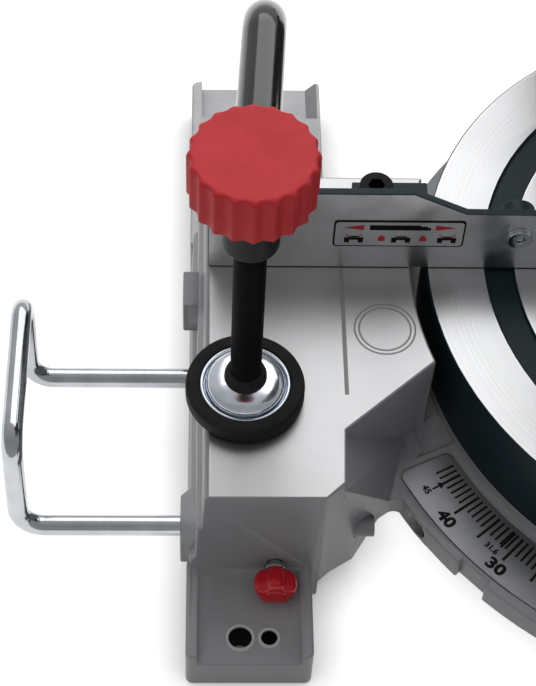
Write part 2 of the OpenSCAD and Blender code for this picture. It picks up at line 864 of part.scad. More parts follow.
// Hollows of the turntable's drum, arm and hub
module turntable_hollow() {
    inner = disc_r - drum_wall;
    bar_z(skirt_z + plate_t, table_h - plate_t, inner);
    box([-arm_w / 2 + drum_wall, -kerf_front - 2, skirt_z + plate_t],
        [arm_w / 2 - drum_wall, -inner + 20, table_h - plate_t]);
    box([-arm_w / 2 + drum_wall, -arm_reach + drum_wall, box_z - 1],
        [arm_w / 2 - drum_wall, -front_box_y - drum_wall, skirt_z - plate_t]);
    box([-slot_w / 2, -kerf_front - 4, table_h - plate_t - 1],
        [slot_w / 2, kerf_back + 4, table_h]);
    box([-insert_w / 2 - 0.2, -kerf_front - insert_lap - 0.2, table_h - insert_t],
        [insert_w / 2 + 0.2, kerf_back + insert_lap + 0.2, table_h + 1]);
    bar_z(0, table_h - plate_t - 1, pivot_d / 2 + run);
    bar_z(nut_z, skirt_z + plate_t + 1, nut_pocket_r);
}

// Places a child at each screw of the kerf insert
module at_insert_screws() {
    inset = insert_w / 2 - 7;
    for (x = [-inset, inset], y = [-kerf_front - 4, (kerf_back - kerf_front) / 2, kerf_back + 4])
        translate([x, y, table_h]) children();
}

module turntable() {
    color("#2a4244") difference() {
        union() {
            bar_z(skirt_z, table_h, disc_r);
            bar_z(floor_top + 2, skirt_z + 1, hub_r);
            box([-arm_w / 2, -arm_reach, arm_floor_z], [arm_w / 2, -disc_r + 20, table_h]);
            box([-arm_w / 2, -arm_reach, box_z], [arm_w / 2, -front_box_y, arm_floor_z + 1]);
            box([-neck_w / 2, disc_r - 24, skirt_z], [neck_w / 2, trunnion_y + 1, table_h - 1]);
            translate([0, 0, table_h]) bar_y(trunnion_y, trunnion_y + trunnion_t, trunnion_r);
        }
        ring(table_h - groove_d, table_h + 1, groove_r - groove_w, groove_r);
        turntable_hollow();
        translate([0, 0, table_h])
            bar_y(trunnion_y - 8.5, trunnion_y + trunnion_t + 1, bevel_pin_d / 2 + run);
        translate([0, 0, lock_z]) bar_y(-arm_reach - 1, -front_box_y + 1, rod_d / 2 + run);
        translate([0, lever_pin_y, lever_z])
            bar_x(-arm_w / 2 - 1, -arm_w / 2 + 7, lever_pin_d / 2 + run);
        at_insert_screws() bar_z(-plate_t - 1, 1, 2 + run);
    }
}

module kerf_insert() {
    color("#26282a") difference() {
        box([-insert_w / 2, -kerf_front - insert_lap, table_h - insert_t + 0.05],
            [insert_w / 2, kerf_back + insert_lap, table_h]);
        box([-kerf_w / 2, -kerf_front, table_h - insert_t - 1], [kerf_w / 2, kerf_back, table_h + 1]);
        at_insert_screws() {
            bar_z(-insert_t - 1, 1, 2 + run);
            translate([0, 0, -2]) cylinder(r1 = 2, r2 = 4.1, h = 2.05);
        }
    }
}

module insert_screws() {
    color("#a7aaad") at_insert_screws() {
        bar_z(-plate_t + 0.5, -1.9, 2);
        translate([0, 0, -1.95]) cylinder(r1 = 2, r2 = 3.85, h = 1.85);
    }
}

module mitre_pointer() {
    tip_r = scale_in_r + 6;
    root_y = -disc_r - 1;
    color("#b3202a") {
        box([-arm_w / 2 - 8, root_y - 7, arm_floor_z + 1], [-arm_w / 2, root_y, arm_floor_z + 4]);
        at_mitre(pointer_turn)
            box([-1.5, -tip_r, flange_z + 1], [1.5, -scale_in_r, arm_floor_z + 4]);
    }
}

module mitre_rod() {
    color("#b9bcbf") translate([0, 0, lock_z])
        bar_y(-arm_reach - 20, -rim_r - 1, rod_d / 2);
}

module mitre_knob() {
    y = -arm_reach - pass;
    color("#b3202a") translate([0, 0, lock_z]) difference() {
        union() {
            translate([0, y - 8, 0]) rotate([90, 0, 0]) linear_extrude(22) star(mitre_knob_d / 2, 6);
            bar_y(y - 10, y, mitre_knob_d * 0.28);
        }
        bar_y(-arm_reach - 20 - skin, y + 1, rod_d / 2 + run);
    }
}

module detent_lever() {
    tip_y = -rim_r + 2;
    tooth_z = flange_z - 2.2;
    color("#222426") translate([lever_x, 0, 0]) {
        box([0, -arm_reach - 12, lever_z - 6], [lever_w, tip_y, lever_z + 6]);
        box([-4, -arm_reach - 26, lever_z - 5], [lever_w + 6, -arm_reach - 6, lever_z + 3]);
        box([0, tip_y - 7, tooth_z], [lever_w, tip_y, lever_z]);
        translate([0, lever_pin_y, lever_z]) bar_x(1, lever_w + pass + 6, lever_pin_d / 2);
    }
}

module bevel_pivot() {
    color("#a9acaf") translate([0, 0, table_h]) {
        bar_y(trunnion_y - 8, bevel_y + bevel_t + 20, bevel_pin_d / 2);
    }
}

module bevel_scale() {
    color("#c9cbcc") translate([0, trunnion_y + 14, table_h]) rotate([-90, 0, 0])
        rotate([0, 0, 200]) rotate_extrude(angle = 140)
            translate([trunnion_r + 0.1, 0]) square([0.9, trunnion_t - 16]);
}

module bevel_arm() {
    column_w = 76;
    color("#7d8084") difference() {
        union() {
            translate([0, 0, table_h]) bar_y(bevel_y, bevel_y + bevel_t, trunnion_r);
            box([-column_w / 2, bevel_y, table_h], [column_w / 2, bevel_y + bevel_t, rail_z - 20]);
            box([-house_w / 2, house_y, rail_z - house_h / 2],
                [house_w / 2, house_y + house_l, rail_z + house_h / 2]);
            translate([0, house_y + house_l / 2, rail_z])
                bar_x(house_w / 2 - 1, house_w / 2 + 4, 11);
            translate([0, bevel_y + 6, table_h + trunnion_r - 2]) box([-3, -20, 4], [3, 6, 10]);
        }
        translate([0, 0, table_h]) bar_y(bevel_y - 1, bevel_y + bevel_t + 1, bevel_pin_d / 2 + run);
        for (x = [-rail_gap / 2, rail_gap / 2])
            translate([x, 0, rail_z])
                bar_y(house_y - 1, house_y + house_l + 1, rail_d / 2 + bush_t + run);
        translate([0, house_y + house_l / 2, rail_z]) bar_x(rail_gap / 2, house_w / 2 + 9, 4 + run);
    }
}

module rail_bushings() {
    color("#b08d4f") for (x = [-rail_gap / 2, rail_gap / 2], y = [house_y, house_y + house_l - bush_l])
        translate([x, y, rail_z]) difference() {
            bar_y(0, bush_l, rail_d / 2 + bush_t);
            bar_y(-1, bush_l + 1, rail_d / 2 + run);
        }
}

module bevel_lever() {
    y = bevel_y + bevel_t + pass;
    color("#1c1d1f") translate([0, y, table_h]) difference() {
        union() {
            bar_y(0, 18, 17);
            hull() {
                translate([0, 7, 0]) bar_y(0, 9, 12, $fn = 32);
                translate([56, 9, -24]) bar_y(0, 9, 9, $fn = 32);
            }
        }
        bar_y(-1, 25, bevel_pin_d / 2 + run);
    }
}

module rail_lock_knob() {
    x = house_w / 2 + 4 + pass;
    color("#b3202a") translate([0, house_y + house_l / 2, rail_z]) {
        translate([x, 0, 0]) rotate([0, 90, 0]) linear_extrude(18) star(15, 5);
        bar_x(rail_gap / 2 + rail_d / 2 + 0.3, x + 1, 4);
    }
}

module slide_rails() {
    color("#d6d9db") for (x = [-rail_gap / 2, rail_gap / 2])
        translate([x, 0, rail_z]) bar_y(rail_y, rail_y + rail_l, rail_d / 2);
}

module rail_end_plate() {
    y = rail_y + rail_l;
    depth = 9;
    color("#2b2d2f") difference() {
        box([-rail_gap / 2 - 23, y - depth, rail_z - 21],
            [rail_gap / 2 + 23, y + end_plate_t - depth, rail_z + 21]);
        for (x = [-rail_gap / 2, rail_gap / 2])
            translate([x, 0, rail_z]) bar_y(y - depth - 1, y + skin, rail_d / 2 + run);
    }
}

module head_bracket() {
    w = rail_gap + rail_d + 16;
    color("#7d8084") difference() {
        union() {
            box([-w / 2, bracket_y, rail_z - bracket_h / 2],
                [w / 2, bracket_y + bracket_l, rail_z + bracket_h / 2]);
            for (x = [-ear_in - ear_t, ear_in]) {
                box([x, pivot_y - ear_r, rail_z], [x + ear_t, bracket_y + bracket_l, pivot_z]);
                translate([0, pivot_y, pivot_z]) bar_x(x, x + ear_t, ear_r);
            }
        }
        for (x = [-rail_gap / 2, rail_gap / 2])
            translate([x, 0, rail_z])
                bar_y(rail_y - skin, bracket_y + bracket_l + 1, rail_d / 2 + run);
        translate([0, pivot_y, pivot_z])
            bar_x(-ear_in - ear_t - 1, ear_in + ear_t + 1, pin_d / 2 + run);
    }
}

module head_pivot_pin() {
    color("#b4b7ba") translate([0, pivot_y, pivot_z]) {
        bar_x(-ear_in - ear_t - 2, ear_in + ear_t + 2, pin_d / 2);
        bar_x(-ear_in - ear_t - 6, -ear_in - ear_t, pin_d * 0.75);
    }
}

// Points along the spring's wire round the pivot pin
spring_steps = spring_curls * spring_rings;
spring_x0 = -ear_in + spring_wire / 2 + 0.1;
function spring_at(i) = let(a = i * 360 / spring_rings)
    [spring_x0 + i * spring_pitch / spring_rings, spring_r * cos(a), spring_r * sin(a)];
function spring_ring(i) = let(a = i * 360 / spring_rings) [for (k = [0 : spring_sides - 1])
    let(b = k * 360 / spring_sides, r = spring_r + spring_wire / 2 * cos(b))
    [spring_x0 + i * spring_pitch / spring_rings + spring_wire / 2 * sin(b), r * cos(a), r * sin(a)]];
spring_gap = min([for (i = [0 : spring_steps], j = [0 : spring_steps])
    if (j - i >= spring_rings / 2) norm(spring_at(j) - spring_at(i))]) - spring_wire;
echo(spring_gap = spring_gap);

module head_spring() {
    n = spring_sides;
    points = [for (i = [0 : spring_steps]) each spring_ring(i)];
    last = spring_steps * n;
    sides = [for (i = [0 : spring_steps - 1], k = [0 : n - 1]) let(m = (k + 1) % n)
        each [[i * n + k, i * n + m, (i + 1) * n + m], [i * n + k, (i + 1) * n + m, (i + 1) * n + k]]];
    ends = [for (k = [1 : n - 2]) each [[0, k + 1, k], [last, last + k, last + k + 1]]];
    color("#8e9194") translate([0, pivot_y, pivot_z]) polyhedron(points, concat(sides, ends));
}

// Solid between two round bars along X, one on the blade axis and one on the motor axis
module belt_path(x0, x1, r_arbor, r_motor) {
    hull() {
        at_arbor() bar_x(x0, x1, r_arbor, $fn = 32);
        at_motor() bar_x(x0, x1, r_motor, $fn = 32);
    }
}

module head_arm() {
    knuckle_x0 = -ear_in + spring_curls * spring_pitch + spring_wire + 1;
    knuckle_x1 = ear_in - pass;
    beam_y = pivot_y - 52;
    color("#7d8084") difference() {
        union() {
            belt_path(case_x, cover_x, pulley_r + 12, motor_pulley_r + 26);
            hull() {
                at_arbor() bar_x(case_x, case_x + 22, pulley_r, $fn = 32);
                box([case_x, beam_y - 18, pivot_z - 18], [case_x + 22, beam_y, pivot_z + 18]);
            }
            translate([0, pivot_y, pivot_z]) bar_x(knuckle_x0, knuckle_x1, 20);
            box([knuckle_x0, beam_y - 10, pivot_z - 12], [knuckle_x1, pivot_y, pivot_z + 16]);
            at_arbor() box([-upper_x + 6, -60, upper_r], [cover_x - 4, 66, upper_r + 14]);
            at_arbor() box([case_x, -20, 40], [cover_x - 4, 60, upper_r + 14]);
        }
        belt_path(belt_x - 3, cover_x + 1, pulley_r + 7, motor_pulley_r + 7);
        at_arbor() bar_x(case_x - 1, belt_x, shaft_d / 2 + 3);
        at_arbor() bar_x(case_x + 1, belt_x, bearing_d / 2 + run);
        translate([0, pivot_y, pivot_z]) bar_x(-ear_in, ear_in, pin_d / 2 + run);
        translate([0, pivot_y, pivot_z]) bar_x(-ear_in, knuckle_x0, spring_r + spring_wire + 1);
    }
}

module belt_cover() {
    color("#2b2d2f") difference() {
        belt_path(cover_x, cover_x + cover_t, pulley_r + 12, motor_pulley_r + 26);
        at_motor() bar_x(cover_x - 1, cover_x + cover_t + 1, motor_shaft_d / 2 + 1);
    }
}

module upper_guard() {
    color("#9a9da0") at_arbor() difference() {
        union() {
            fan(upper_from, upper_to) difference() {
                translate([40, -upper_x - 2]) square([upper_r - 40, 2 * upper_x + 2]);
                translate([30, -upper_x]) square([upper_r - 32, 2 * upper_x - 2]);
            }
            bar_x(-upper_x - 3, -upper_x + 0.6, 46);
            bar_x(-upper_x - 1, -lower_x + guard_wall + 0.3, hub_ring_r - run);
        }
        bar_x(-upper_x - 4, -lower_x + guard_wall + 1, hub_ring_r - 4);
        translate([0, 0, upper_r * 0.42]) bar_y(upper_r * 0.6, upper_r + 10, 17.2);
    }
}

module dust_port() {
    z = upper_r * 0.42;
    rim_y = sqrt(pow(upper_r, 2) - pow(z, 2));
    color("#1d1e20") at_arbor() translate([0, 0, z]) difference() {
        union() {
            bar_y(rim_y - 12, rim_y + 46, 17);
            bar_y(rim_y + 10, rim_y + 14, 21);
        }
        bar_y(rim_y - 30, rim_y + 50, 14);
        translate([0, 0, -z]) bar_x(-30, 30, upper_r - 1.5);
    }
}

module lower_guard() {
    in_x = lower_x - 1 - guard_wall;
    in_r = lower_r - guard_wall;
    color("#c2c6c9") at_arbor() difference() {
        union() {
            fan(lower_from, lower_to) polygon([[web_r, -lower_x], [lower_r, -lower_x],
                [lower_r, lower_x - 1], [guard_open_r, lower_x - 1], [guard_open_r, in_x],
                [in_r, in_x], [in_r, -lower_x + guard_wall], [web_r, -lower_x + guard_wall]]);
            bar_x(-lower_x - 0.6, -lower_x + guard_wall + 0.6, hub_ring_r + 12);
        }
        bar_x(-lower_x - 1, -lower_x + guard_wall + 1, hub_ring_r);
    }
}

// Toothed outline of the blade
function tooth(i) = let(a = i * 360 / teeth, step = 360 / teeth, root = blade_r - 7)
    [blade_r * [cos(a), sin(a)], (root + 3) * [cos(a + 0.45 * step), sin(a + 0.45 * step)],
        root * [cos(a + 0.75 * step), sin(a + 0.75 * step)],
        (root + 1) * [cos(a + 0.92 * step), sin(a + 0.92 * step)]];

module saw_blade() {
    color("#c4c8cb") at_arbor() translate([-blade_t / 2, 0, 0]) rotate([0, 90, 0])
        linear_extrude(blade_t) difference() {
            polygon([for (i = [0 : teeth - 1]) each tooth(i)]);
            circle(d = blade_bore);
        }
}

module blade_flange() {
    color("#8b8e91") at_arbor() difference() {
        bar_x(-blade_t / 2 - flange_wheel_t, -blade_t / 2, flange_wheel_r - 2);
        bar_x(-30, 0, shaft_d / 2 + run);
    }
}

module arbor_bolt() {
    color("#55585b") at_arbor() {
        bar_x(-blade_t / 2 - flange_wheel_t - 2, -blade_t / 2 - flange_wheel_t, 12);
        translate([-blade_t / 2 - flange_wheel_t - 7, 0, 0])
            rotate([0, 90, 0]) cylinder(r = 8, h = 5.5, $fn = 6);
    }
}

module arbor_shaft() {
    color("#a3a6a9") at_arbor() {
        bar_x(-blade_t / 2 - flange_wheel_t, belt_x + belt_w + 2, shaft_d / 2);
        bar_x(-blade_t / 2 + 0.1, blade_t / 2 + 1, blade_bore / 2 - run);
        bar_x(blade_t / 2, blade_t / 2 + flange_wheel_t, flange_wheel_r);
        bar_x(belt_x - 1, belt_x + belt_w + 1, pulley_r);
    }
}

module arbor_bearings() {
    color("#b9bcbf") at_arbor() for (i = [0, 1])
        translate([case_x + 1 + i * (bearing_w + 1), 0, 0]) difference() {
            bar_x(0, bearing_w, bearing_d / 2);
            bar_x(-1, bearing_w + 1, shaft_d / 2 + run);
        }
}

module drive_belt() {
    slip = 0.5;
    color("#141516") difference() {
        belt_path(belt_x, belt_x + belt_w, pulley_r + belt_t, motor_pulley_r + belt_t);
        belt_path(belt_x - 1, belt_x + belt_w + 1, pulley_r + slip, motor_pulley_r + slip);
    }
}

module motor_housing() {
    vents = 12;
    r = motor_d / 2;
    color("#24383a") at_motor() difference() {
        union() {
            bar_x(motor_x, motor_x + motor_l, r);
            bar_x(motor_x, motor_x + 6, r + 4);
            bar_x(motor_x + motor_l - 24, motor_x + motor_l - 18, r + 2);
        }
        bar_x(motor_x - 1, motor_x + motor_l - motor_wall, r - motor_wall);
        for (i = [0 : vents - 1])
            rotate([i * 360 / vents, 0, 0])
                box([motor_x + motor_l - motor_wall - 1, -2, r * 0.45],
                    [motor_x + motor_l + 1, 2, r * 0.8]);
        bar_x(motor_x + motor_l - motor_wall - 1, motor_x + motor_l - motor_wall + 2,
            motor_shaft_d / 2 + run);
        translate([motor_x + motor_l - 12, 0, 0]) bar_y(r - motor_wall - 2, r + 9, 5);
    }
}

module motor_field() {
    r = motor_d / 2 - motor_wall - run;
    color("#6f4a2f") at_motor() difference() {
        bar_x(motor_x + field_x, motor_x + field_x + field_l, r);
        bar_x(motor_x + field_x - 1, motor_x + field_x + field_l + 1, r - field_t);
    }
}

module motor_rotor() {
    r = motor_d / 2 - motor_wall - field_t - 1;
    color("#9c6a3c") at_motor() {
        bar_x(motor_x + field_x, motor_x + field_x + field_l, r);
        bar_x(belt_x - 1, motor_x + motor_l - motor_wall + 1.5, motor_shaft_d / 2);
        bar_x(belt_x - 1, belt_x + belt_w + 1, motor_pulley_r);
        bar_x(motor_x + 8, motor_x + 16, r + 8);
    }
}

module cord_gland() {
    r = motor_d / 2;
    color("#141516") at_motor() translate([motor_x + motor_l - 12, 0, 0]) difference() {
        bar_y(r - motor_wall, r + 14, 5 - run);
        bar_y(r - motor_wall - 1, r + 15, 3.2);
    }
}

// Round link of the handle between two points beside the blade
module grip_link(a, b) {
    hull() {
        translate([grip_x, a[0], a[1]]) sphere(d = grip_d, $fn = 24);
        translate([grip_x, b[0], b[1]]) sphere(d = grip_d, $fn = 24);
    }
}

// Places a child on the underside of the handle's top bar, with Z pointing out of the bar
module at_trigger() {
    at_arbor() translate([grip_x, trigger_at[0], trigger_at[1]]) rotate([180 - grip_slope, 0, 0]) children();
}

module handle() {
    color("#1b1c1e") difference() {
        at_arbor() difference() {
            union() {
                grip_link(grip_rear, grip_top);
                grip_link(grip_top, grip_front);
                grip_link(grip_front, grip_low);
                grip_link(grip_low, grip_foot);
            }
            bar_x(-100, 100, upper_r);
            box([-upper_x, -60, upper_r - 60], [cover_x + 20, 66, upper_r + 14]);
        }
        at_trigger() box([-trigger_w / 2 - pass, -trigger_l / 2 - pass, grip_d / 2 - 10],
            [trigger_w / 2 + pass, trigger_l / 2 + pass, grip_d]);
        at_arbor() translate([0, grip_top[0], grip_top[1]])
            bar_x(grip_x - grip_d, grip_x - 2, 5 + run);
    }
}

module trigger() {
    color("#b3202a") at_trigger()
        box([-trigger_w / 2, -trigger_l / 2, grip_d / 2 - 10 + trigger_travel + pass],
            [trigger_w / 2, trigger_l / 2, grip_d / 2 + 7]);
}

module lock_off_button() {
    color("#b3202a") at_arbor() translate([0, grip_top[0], grip_top[1]])
        bar_x(grip_x - grip_d / 2 - 4, grip_x - 6, 5);
}

base_casting();
mitre_scale();
glide_ring();
pivot_bolt();
pivot_nut();
fence_screws();
left_fence();
left_fence_label();
left_face_screw();
right_fence();
right_face_screw();
left_extension();
right_extension();
left_lock_knob();
left_lock_screw();
right_lock_knob();
right_lock_screw();
clamp_arm();
clamp_collar();
clamp_pad();
clamp_dish();
clamp_spindle();
clamp_knob();
turntable();
kerf_insert();
insert_screws();
mitre_pointer();
mitre_rod();
mitre_knob();
detent_lever();
bevel_pivot();
bevel_scale();
bevel_arm();
rail_bushings();
bevel_lever();
rail_lock_knob();
slide_rails();
rail_end_plate();
head_bracket();
head_pivot_pin();
head_spring();
head_arm();
belt_cover();
upper_guard();
motor_housing();
motor_field();
arbor_bearings();
drive_belt();
handle();
dust_port();
cord_gland();
trigger();
lock_off_button();
lower_guard();
saw_blade();
blade_flange();
arbor_bolt();
arbor_shaft();
motor_rotor();
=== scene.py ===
# %% [markdown]
# # Dressing a sliding mitre saw
# The solids of the saw are already built and packed. This lesson gives them their looks: eased edges,
# machined and painted metal, a threaded clamp, a printed scale. Everything is in metres, in the frame of
# the solids, so a piece is made right where it belongs.

# %% Load the solids
import bpy, bmesh, json, math
from mathutils import Matrix, Vector

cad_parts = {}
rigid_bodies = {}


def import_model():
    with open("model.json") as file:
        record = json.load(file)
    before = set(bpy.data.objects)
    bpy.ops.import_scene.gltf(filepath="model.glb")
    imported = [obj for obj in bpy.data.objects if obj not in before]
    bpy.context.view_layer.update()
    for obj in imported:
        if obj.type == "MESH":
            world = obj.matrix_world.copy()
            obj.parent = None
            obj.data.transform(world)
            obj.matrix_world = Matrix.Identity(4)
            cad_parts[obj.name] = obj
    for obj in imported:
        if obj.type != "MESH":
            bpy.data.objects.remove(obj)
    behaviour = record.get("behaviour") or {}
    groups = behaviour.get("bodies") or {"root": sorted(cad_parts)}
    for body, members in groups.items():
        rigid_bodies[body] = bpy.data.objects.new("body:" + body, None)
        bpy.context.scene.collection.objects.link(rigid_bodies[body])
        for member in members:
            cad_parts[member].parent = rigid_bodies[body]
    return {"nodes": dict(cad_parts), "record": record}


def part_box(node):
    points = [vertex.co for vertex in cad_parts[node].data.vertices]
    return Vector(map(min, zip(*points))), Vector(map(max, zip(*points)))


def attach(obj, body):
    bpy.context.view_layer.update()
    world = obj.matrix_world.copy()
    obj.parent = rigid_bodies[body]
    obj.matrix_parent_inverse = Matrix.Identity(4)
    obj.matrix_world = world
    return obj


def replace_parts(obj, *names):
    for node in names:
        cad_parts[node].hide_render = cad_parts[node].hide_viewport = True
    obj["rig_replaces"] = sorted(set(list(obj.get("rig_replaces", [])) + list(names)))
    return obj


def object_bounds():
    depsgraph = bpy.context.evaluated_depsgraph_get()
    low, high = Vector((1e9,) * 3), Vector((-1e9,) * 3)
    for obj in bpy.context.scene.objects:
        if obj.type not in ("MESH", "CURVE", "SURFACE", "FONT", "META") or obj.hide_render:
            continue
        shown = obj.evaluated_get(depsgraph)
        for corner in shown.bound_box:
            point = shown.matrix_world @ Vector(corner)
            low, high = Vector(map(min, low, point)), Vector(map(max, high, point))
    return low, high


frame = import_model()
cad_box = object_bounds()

record = frame["record"]
slot_of = {s["node"]: s["material_slot"] for s in record["subparts"]}
body_of = {n: b for b, members in record["behaviour"]["bodies"].items() for n in members}
mm = 0.001
table_top = 85 * mm

def placed(at, x_axis, y_axis, z_axis):
    return Matrix.Translation(at) @ Matrix((x_axis, y_axis, z_axis)).transposed().to_4x4()

def facing(at, way):
    return Matrix.Translation(at) @ Vector(way).to_track_quat("Z", "Y").to_matrix().to_4x4()

# %% [markdown]
# ## Camera
# The photograph looks down on the left wing from the front. Its camera was solved from upright and round
# pieces of the saw, so the numbers are written here as three angles and a place. A camera could also be
# aimed by hand, but then edges would miss those of the photograph by many pixels.

# %% Camera
photo_w, photo_h = 536, 686
focal_px, middle_px = 1795.424, (259.2238, 338.5133)
eye_at = (-0.2479481, -0.4821464, 0.7164917)
tilt, turn, roll = 0.9582, -0.0522, 0.0489
back = Vector((math.sin(turn) * math.cos(tilt), -math.cos(turn) * math.cos(tilt), math.sin(tilt)))
right = Vector((math.cos(turn), math.sin(turn), 0))
up = back.cross(right)
right, up = (math.cos(roll) * right + math.sin(roll) * up, math.cos(roll) * up - math.sin(roll) * right)
eye = bpy.data.cameras.new("eye")
eye.lens = eye.sensor_width * focal_px / photo_h
eye.shift_x = (photo_w / 2 - middle_px[0]) / photo_h
eye.shift_y = (middle_px[1] - photo_h / 2) / photo_h
eye.clip_start, eye.clip_end = 0.05, 20
camera = bpy.data.objects.new("eye", eye)
camera.matrix_world = placed(eye_at, right, up, back)
bpy.context.scene.collection.objects.link(camera)
bpy.context.scene.camera = camera
bpy.context.scene.view_settings.view_transform = "Standard"
print("lens", round(eye.lens, 2), "mm")

# %% [markdown]
# ## Finishes
# Cast paint, machined aluminium, moulded plastic and rubber differ in colour, in how much the colour
# wanders, in how rough they are and in the grain of their surface. One loop over a table makes them all:
# a slow noise moves the colour, a finer one moves the roughness, and a bump gives the grain. Lines, for
# brushed and turned metal, come from a noise that runs along one direction only.

# %% Table of finishes
# name: dark colour, light colour, roughness low and high, patch and grain size in mm,
# bump, metal, coat, lines
FINISHES = {
    "cast_paint": ((.29, .293, .302), (.35, .353, .362), .34, .46, 60, 1.1, .10, 0, .05, None),
    # The row below is the grey paint made paler: painted light on the rear feet and painted highlights on the bench
    # hole rims.
    "cast_paint_painted_light": ((.50, .503, .51), (.60, .603, .61), .32, .44, 8, .9, .10, 0, .15, None),
    "machined": ((.46, .462, .467), (.53, .532, .537), .36, .42, 45, .6, .01, 1, 0, "straight"),
    "fence_face": ((.60, .603, .608), (.78, .783, .788), .26, .46, 26, 14, .02, 1, 0, None),
    "turned": ((.47, .473, .478), (.54, .543, .548), .27, .35, 60, .6, .02, 1, 0, "rings"),
    "teal_paint": ((.003, .016, .021), (.005, .022, .028), .38, .50, 40, .8, .08, 0, 0, None),
    "head_paint": ((.10, .104, .11), (.125, .13, .136), .36, .48, 50, 1.0, .10, 0, .12, None),
    "red_matt": ((.62, .030, .038), (.70, .042, .050), .50, .60, 14, .45, .12, 0, 0, None),
    "red_gloss": ((.58, .002, .012), (.66, .004, .018), .22, .30, 10, 1.6, .03, 0, .1, None),
    "black_rubber": ((.008, .008, .0085), (.016, .016, .017), .68, .82, 9, .35, .16, 0, 0, None),
    "black_bar": ((.004, .004, .0045), (.007, .007, .0075), .10, .17, 22, 2.5, .025, 0, .6, None),
    "black_plastic": ((.006, .006, .0065), (.011, .011, .012), .44, .58, 12, .5, .14, 0, 0, None),
    "black_thread": ((.0025, .0025, .003), (.005, .005, .0055), .30, .42, 5, .6, .05, 0, 0, None),
    "bright_zinc": ((.60, .64, .70), (.74, .77, .82), .12, .22, 9, 1.4, .03, 1, 0, None),
    "chrome": ((.42, .435, .455), (.56, .575, .595), .09, .17, 18, 1.8, .02, 1, 0, None),
    "plain_steel": ((.42, .43, .44), (.54, .55, .56), .26, .38, 14, .6, .06, 1, 0, None),
    "dark_steel": ((.055, .056, .058), (.10, .102, .105), .34, .48, 10, .7, .08, .7, 0, None),
    "blade_steel": ((.50, .51, .52), (.64, .65, .66), .22, .32, 40, .5, .04, 1, 0, "rings"),
    "bronze": ((.34, .22, .09), (.46, .31, .13), .28, .40, 9, .6, .06, 1, 0, None),
    "copper": ((.42, .18, .07), (.56, .26, .11), .30, .42, 3, .5, .10, 1, 0, None),
    "scale_plate": ((.20, .203, .212), (.26, .263, .272), .32, .44, 30, .4, .04, .8, 0, None),
    "label_silver": ((.50, .51, .52), (.60, .61, .62), .34, .44, 18, .4, .04, .3, 0, None),
    "ink_black": ((.004, .004, .0045), (.008, .008, .0085), .50, .60, 6, .4, .02, 0, 0, None),
    "ink_red": ((.50, .012, .02), (.60, .018, .028), .40, .50, 6, .4, .02, 0, 0, None),
    "carbide": ((.20, .205, .21), (.30, .305, .31), .30, .42, 2, .3, .05, 1, 0, None),
}
print(len(FINISHES), "finishes listed")

# %% [markdown]
# ## Nodes of a finish
# Each row of the table becomes a small node tree. Paint and plastic that should look dull get less gloss
# at the end, straight on the shader's socket.

# %% Build the finishes
def finish_nodes(name, dark, light, rough_low, rough_high, patch, grain, bump, metal, coat, lines):
    mat = bpy.data.materials.new(name)
    mat.use_nodes = True
    tree = mat.node_tree
    shader = tree.nodes["Principled BSDF"]
    shader.inputs["Metallic"].default_value = metal
    shader.inputs["Coat Weight"].default_value = coat
    shader.inputs["Coat Roughness"].default_value = 0.12
    place = tree.nodes.new("ShaderNodeTexCoord").outputs["Object"]

    def noise(size, detail):
        node = tree.nodes.new("ShaderNodeTexNoise")
        node.inputs["Scale"].default_value = 1 / (size * mm)
        node.inputs["Detail"].default_value = detail
        tree.links.new(place, node.inputs["Vector"])
        return node.outputs["Fac"]

    def line_noise(size, detail):
        along = tree.nodes.new("ShaderNodeVectorMath")
        if lines == "rings":
            flat = tree.nodes.new("ShaderNodeVectorMath")
            flat.operation = "MULTIPLY"
            flat.inputs[1].default_value = (1, 1, 0) if name == "turned" else (0, 1, 1)
            tree.links.new(place, flat.inputs[0])
            along.operation = "LENGTH"
            tree.links.new(flat.outputs["Vector"], along.inputs[0])
        else:
            along.operation = "DOT_PRODUCT"
            along.inputs[1].default_value = (1, 0.03, 0)
            tree.links.new(place, along.inputs[0])
        node = tree.nodes.new("ShaderNodeTexNoise")
        node.noise_dimensions = "1D"
        node.inputs["Scale"].default_value = 1 / (size * mm)
        node.inputs["Detail"].default_value = detail
        tree.links.new(along.outputs["Value"], node.inputs["W"])
        return node.outputs["Fac"]

    ramp = tree.nodes.new("ShaderNodeValToRGB")
    ramp.color_ramp.elements[0].position, ramp.color_ramp.elements[1].position = 0.3, 0.7
    ramp.color_ramp.elements[0].color = (*dark, 1)
    ramp.color_ramp.elements[1].color = (*light, 1)
    tree.links.new(noise(patch, 5), ramp.inputs["Fac"])
    tree.links.new(ramp.outputs["Color"], shader.inputs["Base Color"])
    fine = line_noise(grain, 3) if lines else noise(grain, 3)
    span = tree.nodes.new("ShaderNodeMapRange")
    span.inputs["From Min"].default_value, span.inputs["From Max"].default_value = 0.3, 0.7
    span.inputs["To Min"].default_value, span.inputs["To Max"].default_value = rough_low, rough_high
    tree.links.new(fine, span.inputs["Value"])
    tree.links.new(span.outputs["Result"], shader.inputs["Roughness"])
    relief = tree.nodes.new("ShaderNodeBump")
    relief.inputs["Strength"].default_value = bump
    relief.inputs["Distance"].default_value = grain * mm * 0.5
    tree.links.new(fine, relief.inputs["Height"])
    tree.links.new(relief.outputs["Normal"], shader.inputs["Normal"])
    return mat

finish = {name: finish_nodes(name, *row) for name, row in FINISHES.items()}
GLOSS = {"cast_paint": .3, "red_matt": .25, "red_gloss": .35, "teal_paint": .25, "black_rubber": .25,
         "black_plastic": .15, "black_thread": .10, "ink_black": .10}
for dull, shine in GLOSS.items():
    finish[dull].node_tree.nodes["Principled BSDF"].inputs["Specular IOR Level"].default_value = shine
print("built", len(finish), "finishes")

# %% [markdown]
# ## Clear guard
# The lower guard is smoky clear plastic. A glass shader would be slow and noisy on thin walls, so the
# plastic lets part of the light through and keeps a clear gloss.

